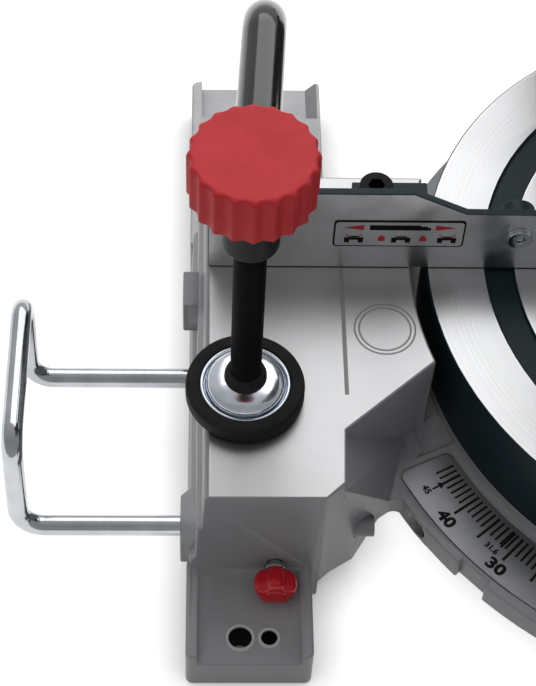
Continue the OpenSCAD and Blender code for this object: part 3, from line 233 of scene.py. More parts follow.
# %% Guard plastic
finish["guard_plastic"] = finish_nodes("guard_plastic", (.50, .52, .53), (.60, .62, .63), .10, .18,
                                       30, 1.5, .03, 0, 0, None)
guard_shader = finish["guard_plastic"].node_tree.nodes["Principled BSDF"]
guard_shader.inputs["Transmission Weight"].default_value = 0.7
guard_shader.inputs["IOR"].default_value = 1.25
print("guard plastic lets through", round(guard_shader.inputs["Transmission Weight"].default_value, 2))

# %% [markdown]
# ## Copies of the solids
# A solid from CAD comes as loose triangles with knife-sharp edges. Real castings and screws have eased
# edges that catch the light. A copy is merged, its flat triangles are joined into faces, and its edges
# are bevelled, apart from those of faces too narrow for it. A Bevel modifier could do this too, but it
# stops at the shortest edge of the whole mesh.

# %% Helpers for copies
def merged(node, press=None):
    bm = bmesh.new()
    bm.from_mesh(frame["nodes"][node].data)
    for v in bm.verts if press else []:
        press(v)
    bmesh.ops.remove_doubles(bm, verts=bm.verts, dist=2e-6)
    bmesh.ops.dissolve_limit(bm, angle_limit=math.radians(0.2), verts=bm.verts, edges=bm.edges)
    return bm

def reach(bm):
    xs, ys, zs = zip(*(v.co for v in bm.verts))
    return Vector((min(xs), min(ys), min(zs))), Vector((max(xs), max(ys), max(zs)))

def ease(bm, width, steps=2, angle=32, wanted=None):
    edges = [e for e in bm.edges if len(e.link_faces) == 2 and e.calc_length() > 0.12 * mm
             and e.calc_face_angle(0) > math.radians(angle) and (wanted is None or wanted(e))
             and min(f.calc_area() for f in e.link_faces) > 2.2 * width * e.calc_length()]
    bmesh.ops.bevel(bm, geom=edges, offset=width, offset_type="OFFSET", segments=steps, profile=0.5,
                    affect="EDGES", material=-1, clamp_overlap=False, loop_slide=True)
    many_sided = [f for f in bm.faces if len(f.verts) > 4]
    bmesh.ops.triangulate(bm, faces=many_sided, quad_method="BEAUTY", ngon_method="EAR_CLIP")

def piece(name, bm, nodes, finishes, sharp=34):
    mesh = bpy.data.meshes.new(name)
    bm.to_mesh(mesh)
    bm.free()
    for f in finishes:
        mesh.materials.append(finish[f])
    mesh.shade_smooth()
    mesh.set_sharp_from_angle(angle=math.radians(sharp))
    made = bpy.data.objects.new(name, mesh)
    bpy.context.scene.collection.objects.link(made)
    even = made.modifiers.new("even_shading", "WEIGHTED_NORMAL")
    even.keep_sharp = True
    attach(made, body_of[nodes[0]])
    return made

def stand_for(name, bm, nodes, finishes, sharp=34):
    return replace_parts(piece(name, bm, nodes, finishes, sharp), *nodes)

print("helpers ready")

# %% [markdown]
# ## Eased copy with painted zones
# A bevel can go wrong where edges are shorter than its width. The helper below tries the wished width,
# compares volume and reach with the plain copy, and halves the width until both agree.

# %% Eased copy
def eased(node, width, wanted=None, press=None):
    plain = merged(node, press)
    low, high = reach(plain)
    volume = plain.calc_volume()
    while width > 0.08 * mm:
        bm = plain.copy()
        ease(bm, width, wanted=wanted)
        now_low, now_high = reach(bm)
        grown = max(max(low - now_low), max(now_high - high))
        if grown < 0.02 * mm and abs(bm.calc_volume() - volume) < 0.03 * volume:
            plain.free()
            return bm, width
        bm.free()
        width /= 2
    return plain, 0

def zones(bm, tests):
    bm.normal_update()
    for f in bm.faces:
        where = f.calc_center_median()
        for number, test in tests:
            if test(f.normal, where):
                f.material_index = number

print("eased copies ready")

# %% [markdown]
# ## Base casting
# One aluminium casting carries both wings, the four feet and the ring for the mitre scale. Its paint is grey
# all over, and only the top land is milled bare, so the finish follows the direction and height of each face.
# The tops of the rear feet get a paler grey as painted light from behind, and the walls of the bench holes are
# black as painted shade. Only outer edges are bevelled, since an inner corner seldom catches the light. The
# shallow lines in the land are pressed flat first and come back as filled lines in a later cell.

# %% Base casting
land = table_top - 0.1 * mm
BENCH_HOLES, bench_y = ((232.4, 5), (220, 3.5)), 148  # each with its x and radius
ring_x, ring_y, ring_radii, ring_w = 170.3, -33.5, (11.6, 13.6), 0.8
line_x, line_w, line_from, line_to = 188.1, 1.8, -67.5, -0.3

def stays_sharp(edge):
    x, y, z = (edge.verts[0].co + edge.verts[1].co) / (2 * mm)
    narrow = 179 < abs(x) < 193 and -113 < y < -99 and 60 < z < 80
    in_tray = y > 138 and abs(x) < 252 and z > 18
    by_plate = 158 < abs(x) < 169 and -90 < y < -70 and 35.5 < z < 46
    return narrow or in_tray or by_plate

def press_marks(v):
    in_line = abs(abs(v.co.x) - 188 * mm) < 1.6 * mm and -69 * mm < v.co.y < 2 * mm
    in_ring = math.hypot(abs(v.co.x) - ring_x * mm, v.co.y - ring_y * mm) < 14 * mm
    if (in_line or in_ring) and table_top - 1.5 * mm < v.co.z < table_top:
        v.co.z = table_top

# The walls of the bench holes are coloured black: painted shade inside the holes.
def in_hole(n, c):
    aside = min(math.hypot(abs(c.x) - x * mm, abs(c.y) - bench_y * mm) - r * mm for x, r in BENCH_HOLES)
    return abs(n.z) < 0.3 and abs(aside) < 0.15 * mm

def on_land(n, c):
    return n.z > 0.99 and c.z > land

# The tops of the rear feet take the paler grey: painted light from behind.
def on_rear_foot(n, c):
    return n.z > 0.8 and c.y > 62 * mm and c.z < 27 * mm

bm, used = eased("base_casting", 0.9 * mm, lambda e: e.is_convex and not stays_sharp(e), press_marks)
zones(bm, [(1, on_land), (2, on_rear_foot), (3, in_hole)])
casting = stand_for("base_casting_look", bm, ["base_casting"],
                    ["cast_paint", "machined", "cast_paint_painted_light", "black_plastic"])
for edge in casting.data.edges:
    ends = [casting.data.vertices[v].co for v in edge.vertices]
    if min(c.y for c in ends) > 138 * mm and min(c.z for c in ends) > 18 * mm:
        edge.use_edge_sharp = True
print("base eased by", used / mm, "mm")

# %% [markdown]
# ## Rims of the bench holes
# Each bench hole has a small raised rim, left by the core pin of the mould. A short outline is spun about
# the hole, and the eight rims are one mesh.

# %% Rims of the bench holes
def spun(outline, centre, steps=96, bm=None):
    bm = bm or bmesh.new()
    chain = [bm.verts.new((centre.x + r * mm, centre.y, centre.z + z * mm)) for r, z in outline]
    edges = [bm.edges.new((a, b)) for a, b in zip(chain, chain[1:] + chain[:1])]
    bmesh.ops.spin(bm, geom=chain + edges, cent=centre, axis=(0, 0, 1), angle=2 * math.pi, steps=steps,
                   use_merge=True, use_duplicate=False)
    bmesh.ops.remove_doubles(bm, verts=bm.verts, dist=1e-6)
    bmesh.ops.dissolve_degenerate(bm, edges=bm.edges, dist=1e-6)
    bmesh.ops.recalc_face_normals(bm, faces=bm.faces)
    return bm

bm = bmesh.new()
for x, hole in BENCH_HOLES:
    for side in (-1, 1):
        for y in (-bench_y, bench_y):
            spun([(hole + .05, -.5), (hole + .1, .35), (hole + .9, .5), (hole + 1.9, -.5)],
                 Vector((side * x, y, 19 if y < 0 else 20)) * mm, 20, bm)
# The rims take the paler grey, a painted highlight along the edge of each hole.
piece("bench_hole_rims", bm, ["base_casting"], ["cast_paint_painted_light"], sharp=50)
print("rims made")

# %% [markdown]
# ## Lines in the land
# A line along the fence end and a double ring are engraved in each land and filled with grey. They are flat
# bands, spun or drawn out, so that their edges stay crisp.

# %% Lines in the land
bm = bmesh.new()
for side in (-1, 1):
    ring_mid = Vector((side * ring_x * mm, ring_y * mm, table_top))
    for r in ring_radii:
        spun([(r - ring_w, 0), (r, 0), (r, .04), (r - ring_w, .04)], ring_mid, 72, bm)
    line_mid = Vector((side * line_x * mm, (line_from + line_to) / 2 * mm, table_top + 0.02 * mm))
    size = Matrix.Diagonal((line_w * mm, (line_to - line_from) * mm, 0.04 * mm, 1))
    bmesh.ops.create_cube(bm, size=1, matrix=Matrix.Translation(line_mid) @ size)
piece("land_lines", bm, ["base_casting"], ["cast_paint"], sharp=20)
print("lines made")

# %% [markdown]
# ## Turntable
# The turntable is painted dark teal and its top is turned on a lathe, which leaves fine rings. The ring
# sunk in the top keeps its paint.

# %% Turntable
bm, used = eased("turntable", 0.6 * mm)
zones(bm, [(1, on_land)])
stand_for("turntable_look", bm, ["turntable"], ["teal_paint", "turned"])
print("turntable eased by", used / mm, "mm")

# %% [markdown]
# ## Fences
# The fence is a pressed and painted bar whose front face is milled for the workpiece to lean on.

# %% Fences
for side in ("left", "right"):
    bm, used = eased(side + "_fence", 0.4 * mm)
    zones(bm, [(1, lambda n, c: n.y < -0.99 and c.y < 0.05 * mm)])
    stand_for(side + "_fence_look", bm, [side + "_fence"], ["teal_paint", "fence_face"])
    print(side, "fence eased by", used / mm, "mm")

# %% [markdown]
# ## Clamp spindle
# The spindle is a steel screw. Its thread is a zigzag profile that turns and climbs at once, which the
# spin operator does when it is given a small lift for every step. Two starts share one lead of 3 mm, so
# the crests lie 1.5 mm apart. The ends are cut flat and closed.

# %% Clamp spindle
spindle_low, spindle_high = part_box("clamp_spindle")
spindle = (spindle_low + spindle_high) / 2
lead, crest, root, steps = 3 * mm, 6.45 * mm, 5.55 * mm, 28
turns = math.ceil((spindle_high.z - spindle_low.z) / lead) + 1
bm = bmesh.new()
shape = [(root, 0), (crest, .22), (crest, .30), (root, .48),
         (root, .5), (crest, .72), (crest, .80), (root, .98), (root, 1)]
chain = [bm.verts.new((spindle.x + r, spindle.y, spindle_low.z - lead + t * lead)) for r, t in shape]
threads = [bm.edges.new(pair) for pair in zip(chain, chain[1:])]
bmesh.ops.spin(bm, geom=chain + threads, cent=(spindle.x, spindle.y, 0), axis=(0, 0, 1), dvec=(0, 0, lead / steps),
               angle=2 * math.pi * turns, steps=steps * turns, use_merge=False, use_duplicate=False)
bmesh.ops.remove_doubles(bm, verts=bm.verts, dist=0.01 * mm)
for height, way in ((spindle_low.z, -1), (spindle_high.z, 1)):
    cut = bmesh.ops.bisect_plane(bm, geom=bm.verts[:] + bm.edges[:] + bm.faces[:], dist=1e-7, plane_co=(0, 0, height),
                                 plane_no=(0, 0, way), clear_outer=True)
    rim = [e for e in cut["geom_cut"] if isinstance(e, bmesh.types.BMEdge)]
    bmesh.ops.edgeloop_fill(bm, edges=rim)
bmesh.ops.recalc_face_normals(bm, faces=bm.faces)
stand_for("clamp_spindle_thread", bm, ["clamp_spindle"], ["black_thread"], sharp=50)
print("thread turns:", turns)

# %% [markdown]
# ## Clamp knob
# The knob is moulded in red plastic with twenty finger flutes. A circle of many points is pushed in
# between the ridges and carried up through a list of outlines, which round off both ends and sink the top.

# %% Clamp knob
def tower(segments, outlines):
    bm = bmesh.new()
    rim = bmesh.ops.create_circle(bm, cap_ends=False, segments=segments, radius=1)["verts"]
    edges = bm.edges[:]
    bottom = edges
    for number, (z, outline) in enumerate(outlines):
        if number:
            made = bmesh.ops.extrude_edge_only(bm, edges=edges)["geom"]
            edges = [e for e in made if isinstance(e, bmesh.types.BMEdge) and e.is_boundary]
            rim = [v for v in made if isinstance(v, bmesh.types.BMVert)]
        for v in rim:
            angle = math.atan2(v.co.y, v.co.x)
            v.co = Vector((math.cos(angle), math.sin(angle), 0)) * outline(angle) + Vector((0, 0, z))
    bmesh.ops.edgeloop_fill(bm, edges=edges)
    bmesh.ops.edgeloop_fill(bm, edges=bottom)
    bmesh.ops.recalc_face_normals(bm, faces=bm.faces)
    return bm

def fluted(radius, depth, count, soft=0.35):
    def outline(angle):
        wave = abs(math.sin(count / 2 * angle))
        return radius - depth * (math.hypot(wave, soft) - soft) / (math.hypot(1, soft) - soft)
    return outline

knob_low, knob_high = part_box("clamp_knob")
knob_h = knob_high.z - knob_low.z
knob_r = (knob_high.x - knob_low.x) / 2
rises = [(0, 2.2, 1.0), (.5, .8, 1.3), (1.5, 0, 1.5), (8, 0, 1.5), (15, 0, 1.5), (20.6, 0, 1.5),
         (21.8, .25, 1.3), (22.5, .8, .9), (22.9, 1.7, .4), (23, 2.8, 0), (22.9, 4.4, 0), (22.8, 15.4, 0),
         (22.7, 15.7, 0), (22.7, 16.1, 0), (22.8, 16.4, 0)]
flutes = 20
bm = tower(12 * flutes, [(z * mm, fluted(knob_r - inset * mm, depth * mm, flutes)) for z, inset, depth in rises])
bmesh.ops.translate(bm, verts=bm.verts, vec=(spindle.x, spindle.y, knob_low.z))
stand_for("clamp_knob_fluted", bm, ["clamp_knob"], ["red_matt"], sharp=60)
print("knob", round(knob_r / mm, 2), "mm wide and", round(knob_h / mm, 2), "mm high")

# %% [markdown]
# ## Clamp foot
# A pressed and zinc-plated dish sits in a rubber ring. Both are round, so each is a short outline that is
# spun once about the spindle.

# %% Clamp foot
foot = Vector((spindle.x, spindle.y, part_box("clamp_pad")[0].z))
bm = spun([(0, 0), (22.5, 0), (24, .6), (25, 2), (25, 7), (24.6, 8.4), (23.6, 9), (20.4, 9), (19.3, 8.7), (19.05, 8),
           (19.05, 3), (0, 3)], foot)
stand_for("clamp_pad_ring", bm, ["clamp_pad"], ["black_rubber"], sharp=60)
bm = spun([(0, 3), (19, 3), (19, 8.1), (18.8, 8.6), (18.3, 8.8), (17.8, 8.6), (17.5, 8), (17.3, 6.5),
           (16.9, 6.3), (16.85, 7.6), (16.6, 9), (16.1, 10.2), (15.2, 11.3), (13.9, 12.2), (12.2, 12.8),
           (10.4, 13.2), (8.9, 13.5), (8.8, 15.4), (8.3, 17), (7.5, 18.3), (6.9, 18.9), (6.55, 19),
           (6.55, 10), (0, 10)], foot)
zones(bm, [(1, lambda n, c: math.hypot(c.x - foot.x, c.y - foot.y) < 9.3 * mm and c.z > foot.z + 13.3 * mm)])
stand_for("clamp_dish_pressed", bm, ["clamp_dish"], ["bright_zinc", "black_rubber"], sharp=60)
print("foot at", [round(c / mm, 1) for c in foot])

# %% [markdown]
# ## Clamp collar
# The nut at the end of the bent bar is a short black sleeve with rounded ends.

# %% Clamp collar
collar = Vector((spindle.x, spindle.y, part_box("clamp_collar")[0].z))
bm = spun([(6.6, 0), (9.6, 0), (10.4, .3), (10.85, .9), (11, 1.8), (11, 20.2), (10.85, 21.1), (10.4, 21.7),
           (9.6, 22), (6.6, 22)], collar)
stand_for("clamp_collar_sleeve", bm, ["clamp_collar"], ["black_plastic"], sharp=60)
print("collar at", round(collar.z / mm, 1), "mm")

# %% [markdown]
# ## Star knobs
# The lock knobs have rounded lobes and a round cap in the middle. A circle is pushed in and out as a
# cosine and carried up through outlines that round off both ends. The last of them are round and make the
# cap. The knob is made lying flat and then turned onto its own axis.

# %% Star knobs
def lobed(radius, lobes, waist):
    return lambda angle: radius * (1 - (1 - waist) * (0.5 - 0.5 * math.cos(lobes * (angle - math.pi / 2))))

def lobed_knob(name, node, seat, outward, radius, height, lobes, waist, cap, cap_lift, round_off,
               neck=None, dome=None):
    shoulder = height - cap_lift
    dome = dome or round_off
    outlines = [(0, lobed(0.8 * (radius - dome), lobes, 1)), (0, lobed(radius - dome, lobes, waist))]
    for t in (.3, .6, .9, 1.2, 1.57):
        outlines.append((dome * (1 - math.cos(t)), lobed(radius - dome * (1 - math.sin(t)), lobes, waist)))
    for t in (0, .4, .8, 1.2, 1.57):
        inset = round_off * (1 - math.cos(t))
        outlines.append((shoulder - round_off * (1 - math.sin(t)), lobed(radius - inset, lobes, waist)))
    for r, z in ((1.04, .0), (1, .45), (.9, .78), (.7, .93), (.35, 1)):
        outlines.append((shoulder + cap_lift * z, lobed(cap * r, lobes, 1)))
    if neck:
        outlines = [(-neck[1], lobed(neck[0], lobes, 1)), (0, lobed(neck[0], lobes, 1))] + outlines[1:]
    bm = tower(lobes * 20, outlines)
    bmesh.ops.transform(bm, matrix=facing(seat, outward), verts=bm.verts)
    stand_for(name, bm, [node], ["red_gloss"], sharp=60)

for side in ("left", "right"):
    low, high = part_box(side + "_lock_knob")
    seat = Vector((math.copysign(217.5 * mm, low.x), high.y, 30 * mm))
    lobed_knob(side + "_star_knob", side + "_lock_knob", seat, (0, -1, 0), radius=9.45 * mm, height=high.y - low.y,
               lobes=5, waist=.80, cap=4.8 * mm, cap_lift=0.8 * mm, round_off=3.4 * mm, dome=6 * mm)
low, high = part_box("mitre_knob")
seat = Vector((0, high.y - 8 * mm, (low.z + high.z) / 2))
lobed_knob("mitre_star_knob", "mitre_knob", seat, (0, -1, 0), radius=24.6 * mm, height=22 * mm, lobes=6, waist=.78,
           cap=13 * mm, cap_lift=3 * mm, round_off=4 * mm, neck=(14 * mm, 8 * mm))
low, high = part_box("rail_lock_knob")
grip = 18 * mm
seat = Vector((high.x - grip, (low.y + high.y) / 2, (low.z + high.z) / 2))
lobed_knob("rail_star_knob", "rail_lock_knob", seat, (1, 0, 0), radius=14.8 * mm, height=grip, lobes=5, waist=.70,
           cap=7.5 * mm, cap_lift=3 * mm, round_off=3.2 * mm, neck=(4 * mm, high.x - low.x - grip))
print("four star knobs made")

# %% [markdown]
# ## Mitre scale
# The plate lies in a recess of the casting and has rounded ends. Its outline is walked once round in
# small steps and raised. The square corners that the rounding leaves in the recess are filled in the
# paint of the casting.

# %% Mitre scale plate
plate_low, plate_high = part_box("mitre_scale")
plate_top = plate_high.z
plate_in, plate_out, plate_half, round_r = 154 * mm, 180 * mm, 64.5, 4 * mm
recess_in, recess_out, recess_half = 153.75 * mm, 180.25 * mm, 64.8

def polar(radius, degrees):
    a = math.radians(degrees)
    return Vector((-math.sin(a) * radius, -math.cos(a) * radius, 0))

def rounded_corner(radius, degrees, way_out, way_on):
    middle = radius - way_out * round_r
    points = []
    for t in range(7):
        a = math.pi / 2 * t / 6
        r = middle + way_out * round_r * math.sin(a)
        points.append((r, degrees - way_on * math.degrees(round_r * (1 - math.cos(a)) / r)))
    return points

def slab(bm, points, low, high):
    face = bm.faces.new([bm.verts.new((p.x, p.y, low)) for p in points])
    raised = bmesh.ops.extrude_face_region(bm, geom=[face])["geom"]
    bmesh.ops.translate(bm, verts=[v for v in raised if isinstance(v, bmesh.types.BMVert)], vec=(0, 0, high - low))
    bmesh.ops.recalc_face_normals(bm, faces=bm.faces)

outer_end = rounded_corner(plate_out, plate_half, 1, 1)
inner_end = rounded_corner(plate_in, plate_half, -1, 1)
around = [(plate_out, a) for a in range(-59, 60, 2)] + outer_end[::-1] + inner_end
around += [(plate_in, a) for a in range(59, -60, -2)]
around += [(r, -a) for r, a in inner_end[::-1]] + [(r, -a) for r, a in outer_end]
bm = bmesh.new()
slab(bm, [polar(r, a) for r, a in around], plate_low.z, plate_top)
ease(bm, 0.2 * mm, 1, 60)
stand_for("mitre_scale_plate", bm, ["mitre_scale"], ["scale_plate"])
bm = bmesh.new()
for side in (-1, 1):
    for ring, corner_r in ((outer_end, recess_out), (inner_end, recess_in)):
        shift = corner_r - (plate_out if corner_r > plate_out else plate_in)
        points = [polar(corner_r, side * recess_half)] + [polar(r + shift, side * (a + 0.3)) for r, a in ring]
        slab(bm, points, plate_low.z - 0.1 * mm, 36.98 * mm)
    pit = [(159.2, -58.5), (158.6, -71.2), (155.8, -70.2), (150.9, -66.5), (154.6, -56), (156.5, -55.5)]
    slab(bm, [Vector((side * x, y, 0)) * mm for x, y in pit], 30 * mm, 36.97 * mm)
piece("scale_corner_fill", bm, ["base_casting"], ["cast_paint"])
print("plate ends rounded by", round_r / mm, "mm")

# %% [markdown]
# ## Marks of the mitre scale
# There is a mark for each degree, a longer one for five, and a large number for ten. Each mark is a thin
# raised bar of ink and each number is a text that is made a mesh. They could be painted by a material,
# but a mesh stays sharp from any distance.

# %% Bars, wedges and texts
scale_turn = 15

def on_scale(degrees, radius, lift=0.0):
    a = math.radians(degrees + scale_turn)
    out = Vector((-math.sin(a), -math.cos(a), 0))
    across = Vector((math.cos(a), -math.sin(a), 0))
    return placed(out * radius + Vector((0, 0, plate_top + lift)), across, -out, Vector((0, 0, 1)))

def add_text(bm, words, width, height, place, bold=0.045):
    curve = bpy.data.curves.new("words", "FONT")
    curve.body, curve.align_x, curve.align_y, curve.resolution_u = words, "LEFT", "BOTTOM_BASELINE", 3
    curve.offset = bold
    holder = bpy.data.objects.new("words", curve)
    bpy.context.scene.collection.objects.link(holder)
    mesh = bpy.data.meshes.new_from_object(holder.evaluated_get(bpy.context.evaluated_depsgraph_get()))
    xs, ys = [v.co.x for v in mesh.vertices], [v.co.y for v in mesh.vertices]
    size = Matrix.Diagonal((width / (max(xs) - min(xs)), height / (max(ys) - min(ys)), 1, 1))
    mesh.transform(place @ size @ Matrix.Translation((-(max(xs) + min(xs)) / 2, -(max(ys) + min(ys)) / 2, 0)))
    bm.from_mesh(mesh)
    bpy.data.objects.remove(holder)
    bpy.data.curves.remove(curve)
    bpy.data.meshes.remove(mesh)

def add_bar(bm, place, width, length, thick=0.06 * mm):
    bmesh.ops.create_cube(bm, size=1, matrix=place @ Matrix.Diagonal((width, length, thick, 1)))

def add_wedge(bm, place, width, length, thick=0.06 * mm):
    bmesh.ops.create_cone(bm, cap_ends=True, segments=3, radius1=1, radius2=1, depth=1,
                          matrix=place @ Matrix.Diagonal((width / 1.732, length / 1.5, thick, 1)))

print("the scale is turned by", scale_turn, "degrees")

# %% [markdown]
# ## Numbers in their places
# The marks stand on the inner edge and the numbers outside them. Two angles that are used often, 31.6 and
# 45 degrees, have a mark of their own and a small number.

# %% Mitre scale marks
bm = bmesh.new()
inner = 156.2 * mm
for degree in range(-47, 48):
    long = 170.2 * mm if degree % 5 == 0 and abs(degree) != 45 else 165.2 * mm
    add_bar(bm, on_scale(degree, (inner + long) / 2), (1.25 if degree % 5 == 0 else 1.0) * mm, long - inner)
for side in (-1, 1):
    add_bar(bm, on_scale(31.6 * side, (inner + 166 * mm) / 2), 1.1 * mm, 166 * mm - inner)
    add_wedge(bm, on_scale(45 * side, 166.4 * mm), 3.6 * mm, 3.2 * mm)
    add_bar(bm, on_scale(45 * side, 169.2 * mm), 0.9 * mm, 3.4 * mm)
    for degree in (10, 20, 30, 40):
        add_text(bm, str(degree), 9.2 * mm, 6.0 * mm, on_scale(degree * side, 174.5 * mm, 0.03 * mm))
    add_text(bm, "45", 4.6 * mm, 3.3 * mm, on_scale(45.4 * side, 173.2 * mm, 0.03 * mm))
    add_text(bm, "31.6", 6.6 * mm, 3.1 * mm, on_scale(32.4 * side, 169.2 * mm, 0.03 * mm))
add_text(bm, "0", 4.4 * mm, 6.0 * mm, on_scale(0, 174.5 * mm, 0.03 * mm))
marks = piece("mitre_scale_marks", bm, ["mitre_scale"], ["ink_black"], sharp=20)
print("mitre scale marks:", len(marks.data.polygons), "faces")

# %% [markdown]
# ## Bevel scale
# The scale of the tilt is a band bent round the pivot behind the table. The same bars and texts are laid on
# it, each turned about the pivot's axis.

# %% Bevel scale marks
band_low, band_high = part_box("bevel_scale")
band_r = band_high.z - table_top

def on_band(degrees, y, lift=0.0):
    a = math.radians(degrees)
    out = Vector((math.sin(a), 0, math.cos(a)))
    across = Vector((math.cos(a), 0, -math.sin(a)))
    return placed(out * (band_r + lift) + Vector((0, y, table_top)), across, Vector((0, 1, 0)), out)

bm = bmesh.new()
for degree in range(-48, 49, 2):
    length = (7 if degree % 10 == 0 else 4.5) * mm
    add_bar(bm, on_band(degree, band_high.y - 1 * mm - length / 2), 0.45 * mm, length)
for degree in (-45, -30, -15, 0, 15, 30, 45):
    place = on_band(degree, band_low.y + 5 * mm, 0.1 * mm)
    add_text(bm, str(abs(degree)), (4.6 if degree else 2.3) * mm, 3.6 * mm, place)
piece("bevel_scale_marks", bm, ["bevel_scale"], ["ink_black"], sharp=20)
print("bevel scale radius", round(band_r / mm, 2), "mm")

# %% [markdown]
# ## Fence label
# A plate with a black border shows by plain arrows and bars which way the fence slides. The black plate
# carries a smaller silver one, and the signs on it are thin bars and wedges of ink.

# %% Fence label
bm, used = eased("left_fence_label", 0.12 * mm)
stand_for("fence_label_plate", bm, ["left_fence_label"], ["ink_black"])
label_low, label_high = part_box("left_fence_label")
label_mid = (label_low + label_high) / 2

def on_label(x, z, lift=0.0):
    at = (label_mid.x + x * mm, label_low.y - lift * mm, label_mid.z + z * mm)
    return Matrix.Translation(at) @ Matrix.Rotation(math.pi / 2, 4, "X")

bm = bmesh.new()
corner = 1.6
inset_w, inset_h = (label_high.x - label_low.x) / mm / 2 - 0.8, (label_high.z - label_low.z) / mm / 2 - 0.8
outline = []
for quarter, (sx, sz) in enumerate(((1, 1), (-1, 1), (-1, -1), (1, -1))):
    for t in range(5):
        a = math.pi / 2 * (quarter + t / 4)
        x = sx * (inset_w - corner) + corner * math.cos(a)
        z = sz * (inset_h - corner) + corner * math.sin(a)
        outline.append(bm.verts.new((x, z, 0)))
bm.faces.new(outline)
raised = bmesh.ops.extrude_face_region(bm, geom=bm.faces[:])["geom"]
bmesh.ops.translate(bm, verts=[v for v in raised if isinstance(v, bmesh.types.BMVert)], vec=(0, 0, 0.05))
bmesh.ops.recalc_face_normals(bm, faces=bm.faces)
bmesh.ops.transform(bm, matrix=on_label(0, 0) @ Matrix.Scale(mm, 4), verts=bm.verts)
piece("fence_label_face", bm, ["left_fence_label"], ["label_silver"], sharp=20)
print("label eased by", round(used / mm, 2), "mm")

# %% [markdown]
# ## Signs of the label
# The signs are kept plain: black bars for the fence and its rests, red wedges for the way that it slides.

# %% Signs of the fence label
bm = bmesh.new()
signs = [(-2, 4.4, 22, 3.4), (10.5, 4.0, 3, 2.6), (12.5, 3.6, 2, 1.8)]
for x in (-19.5, 1, 21):
    signs += [(x, -3.2, 8.4, 1.7), (x - 3, -4.8, 2.2, 2.2), (x + 3, -4.8, 2.2, 2.2), (x, -1.8, 5, .8)]
for x, z, w, h in signs:
    add_bar(bm, on_label(x, z, .06), w * mm, h * mm)
piece("fence_label_bars", bm, ["left_fence_label"], ["ink_black"], sharp=20)
bm = bmesh.new()
for way in (-1, 1):
    add_wedge(bm, on_label(way * 18.5, 4.4, .06) @ Matrix.Rotation(-way * math.pi / 2, 4, "Z"), 3.6 * mm, 9 * mm)
for x in (-7.5, 10.5):
    add_bar(bm, on_label(x, -3.4, .06), 3 * mm, 2.8 * mm)
    add_bar(bm, on_label(x, -1.4, .06), 1.6 * mm, 1.0 * mm)
for x in (-19.5, 21):
    for way in (-1, 1):
        add_bar(bm, on_label(x + way * 2.6, -1.2, .08) @ Matrix.Rotation(way * 0.7, 4, "Z"), 2.6 * mm, .6 * mm)
piece("fence_label_arrows", bm, ["left_fence_label"], ["ink_red"], sharp=20)
print("label made")

# %% [markdown]
# ## Return spring
# The spring round the head's pivot is a wire wound in four turns. A small circle is spun about the pin
# with a step along it for every turn, and both ends are closed.

# %% Return spring
spring_low, spring_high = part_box("head_spring")
spring_mid = (spring_low + spring_high) / 2
wire, curls, lead = 2.4 * mm, 4, 3.2 * mm
bm = bmesh.new()
start = Vector((spring_low.x + wire / 2, spring_mid.y + 12.5 * mm, spring_mid.z))
bmesh.ops.create_circle(bm, cap_ends=False, segments=14, radius=wire / 2, matrix=Matrix.Translation(start))
bmesh.ops.spin(bm, geom=bm.verts[:] + bm.edges[:], cent=(0, spring_mid.y, spring_mid.z), axis=(1, 0, 0),
               dvec=(lead / 40, 0, 0), angle=2 * math.pi * curls, steps=40 * curls, use_merge=False,
               use_duplicate=False)
bmesh.ops.holes_fill(bm, edges=[e for e in bm.edges if e.is_boundary], sides=0)
bmesh.ops.recalc_face_normals(bm, faces=bm.faces)
stand_for("head_spring_wire", bm, ["head_spring"], ["plain_steel"], sharp=60)
print("spring turns:", curls)

# %% [markdown]
# ## Bent rods
# The table extensions and the clamp's bar are round rods bent in a jig. Straight and curved lengths could be
# joined, but then every joint would show in the gloss. Here each corner of a path is rounded and one ring
# of points is carried along the whole path.

# %% Bent rod helper
def rounded_path(corners, radius, steps=12):
    points = [corners[0]]
    for before, corner, after in zip(corners, corners[1:], corners[2:]):
        a, b = (before - corner).normalized(), (after - corner).normalized()
        if a.angle(b) > math.pi - 0.01:
            points.append(corner)
            continue
        half = a.angle(b) / 2
        middle = corner + (a + b).normalized() * radius / math.sin(half)
        first = corner + a * radius / math.tan(half) - middle
        last = corner + b * radius / math.tan(half) - middle
        axis = first.cross(last)
        turn = math.pi - 2 * half
        points += [middle + Matrix.Rotation(turn * t / steps, 3, axis) @ first for t in range(steps + 1)]
    return points + [corners[-1]]

def rod(points, radius, segments):
    bm = bmesh.new()
    ways = [(q - p).normalized() for p, q in zip(points, points[1:])]
    along = [ways[0]] + [(a + b).normalized() for a, b in zip(ways, ways[1:])] + [ways[-1]]
    side = along[0].orthogonal().normalized()
    rings = []
    for number, (point, way) in enumerate(zip(points, along)):
        if number:
            side = along[number - 1].rotation_difference(way) @ side
        other = way.cross(side)
        turns = [2 * math.pi * t / segments for t in range(segments)]
        rings.append([bm.verts.new(point + (side * math.cos(t) + other * math.sin(t)) * radius) for t in turns])
    for ring, after in zip(rings, rings[1:]):
        for t in range(segments):
            u = (t + 1) % segments
            bm.faces.new((ring[t], ring[u], after[u], after[t]))
    for ring in (rings[0], rings[-1]):
        bm.faces.new(ring)
    bmesh.ops.recalc_face_normals(bm, faces=bm.faces)
    return bm

print("rods can be bent")

# %% [markdown]
# ## Table extensions and clamp bar
# An extension has two legs in the wing, which lean back a little, and a bar across them. The ends inside
# the wing have the paint of the casting. The clamp's bar goes up from its post and forward to the collar.

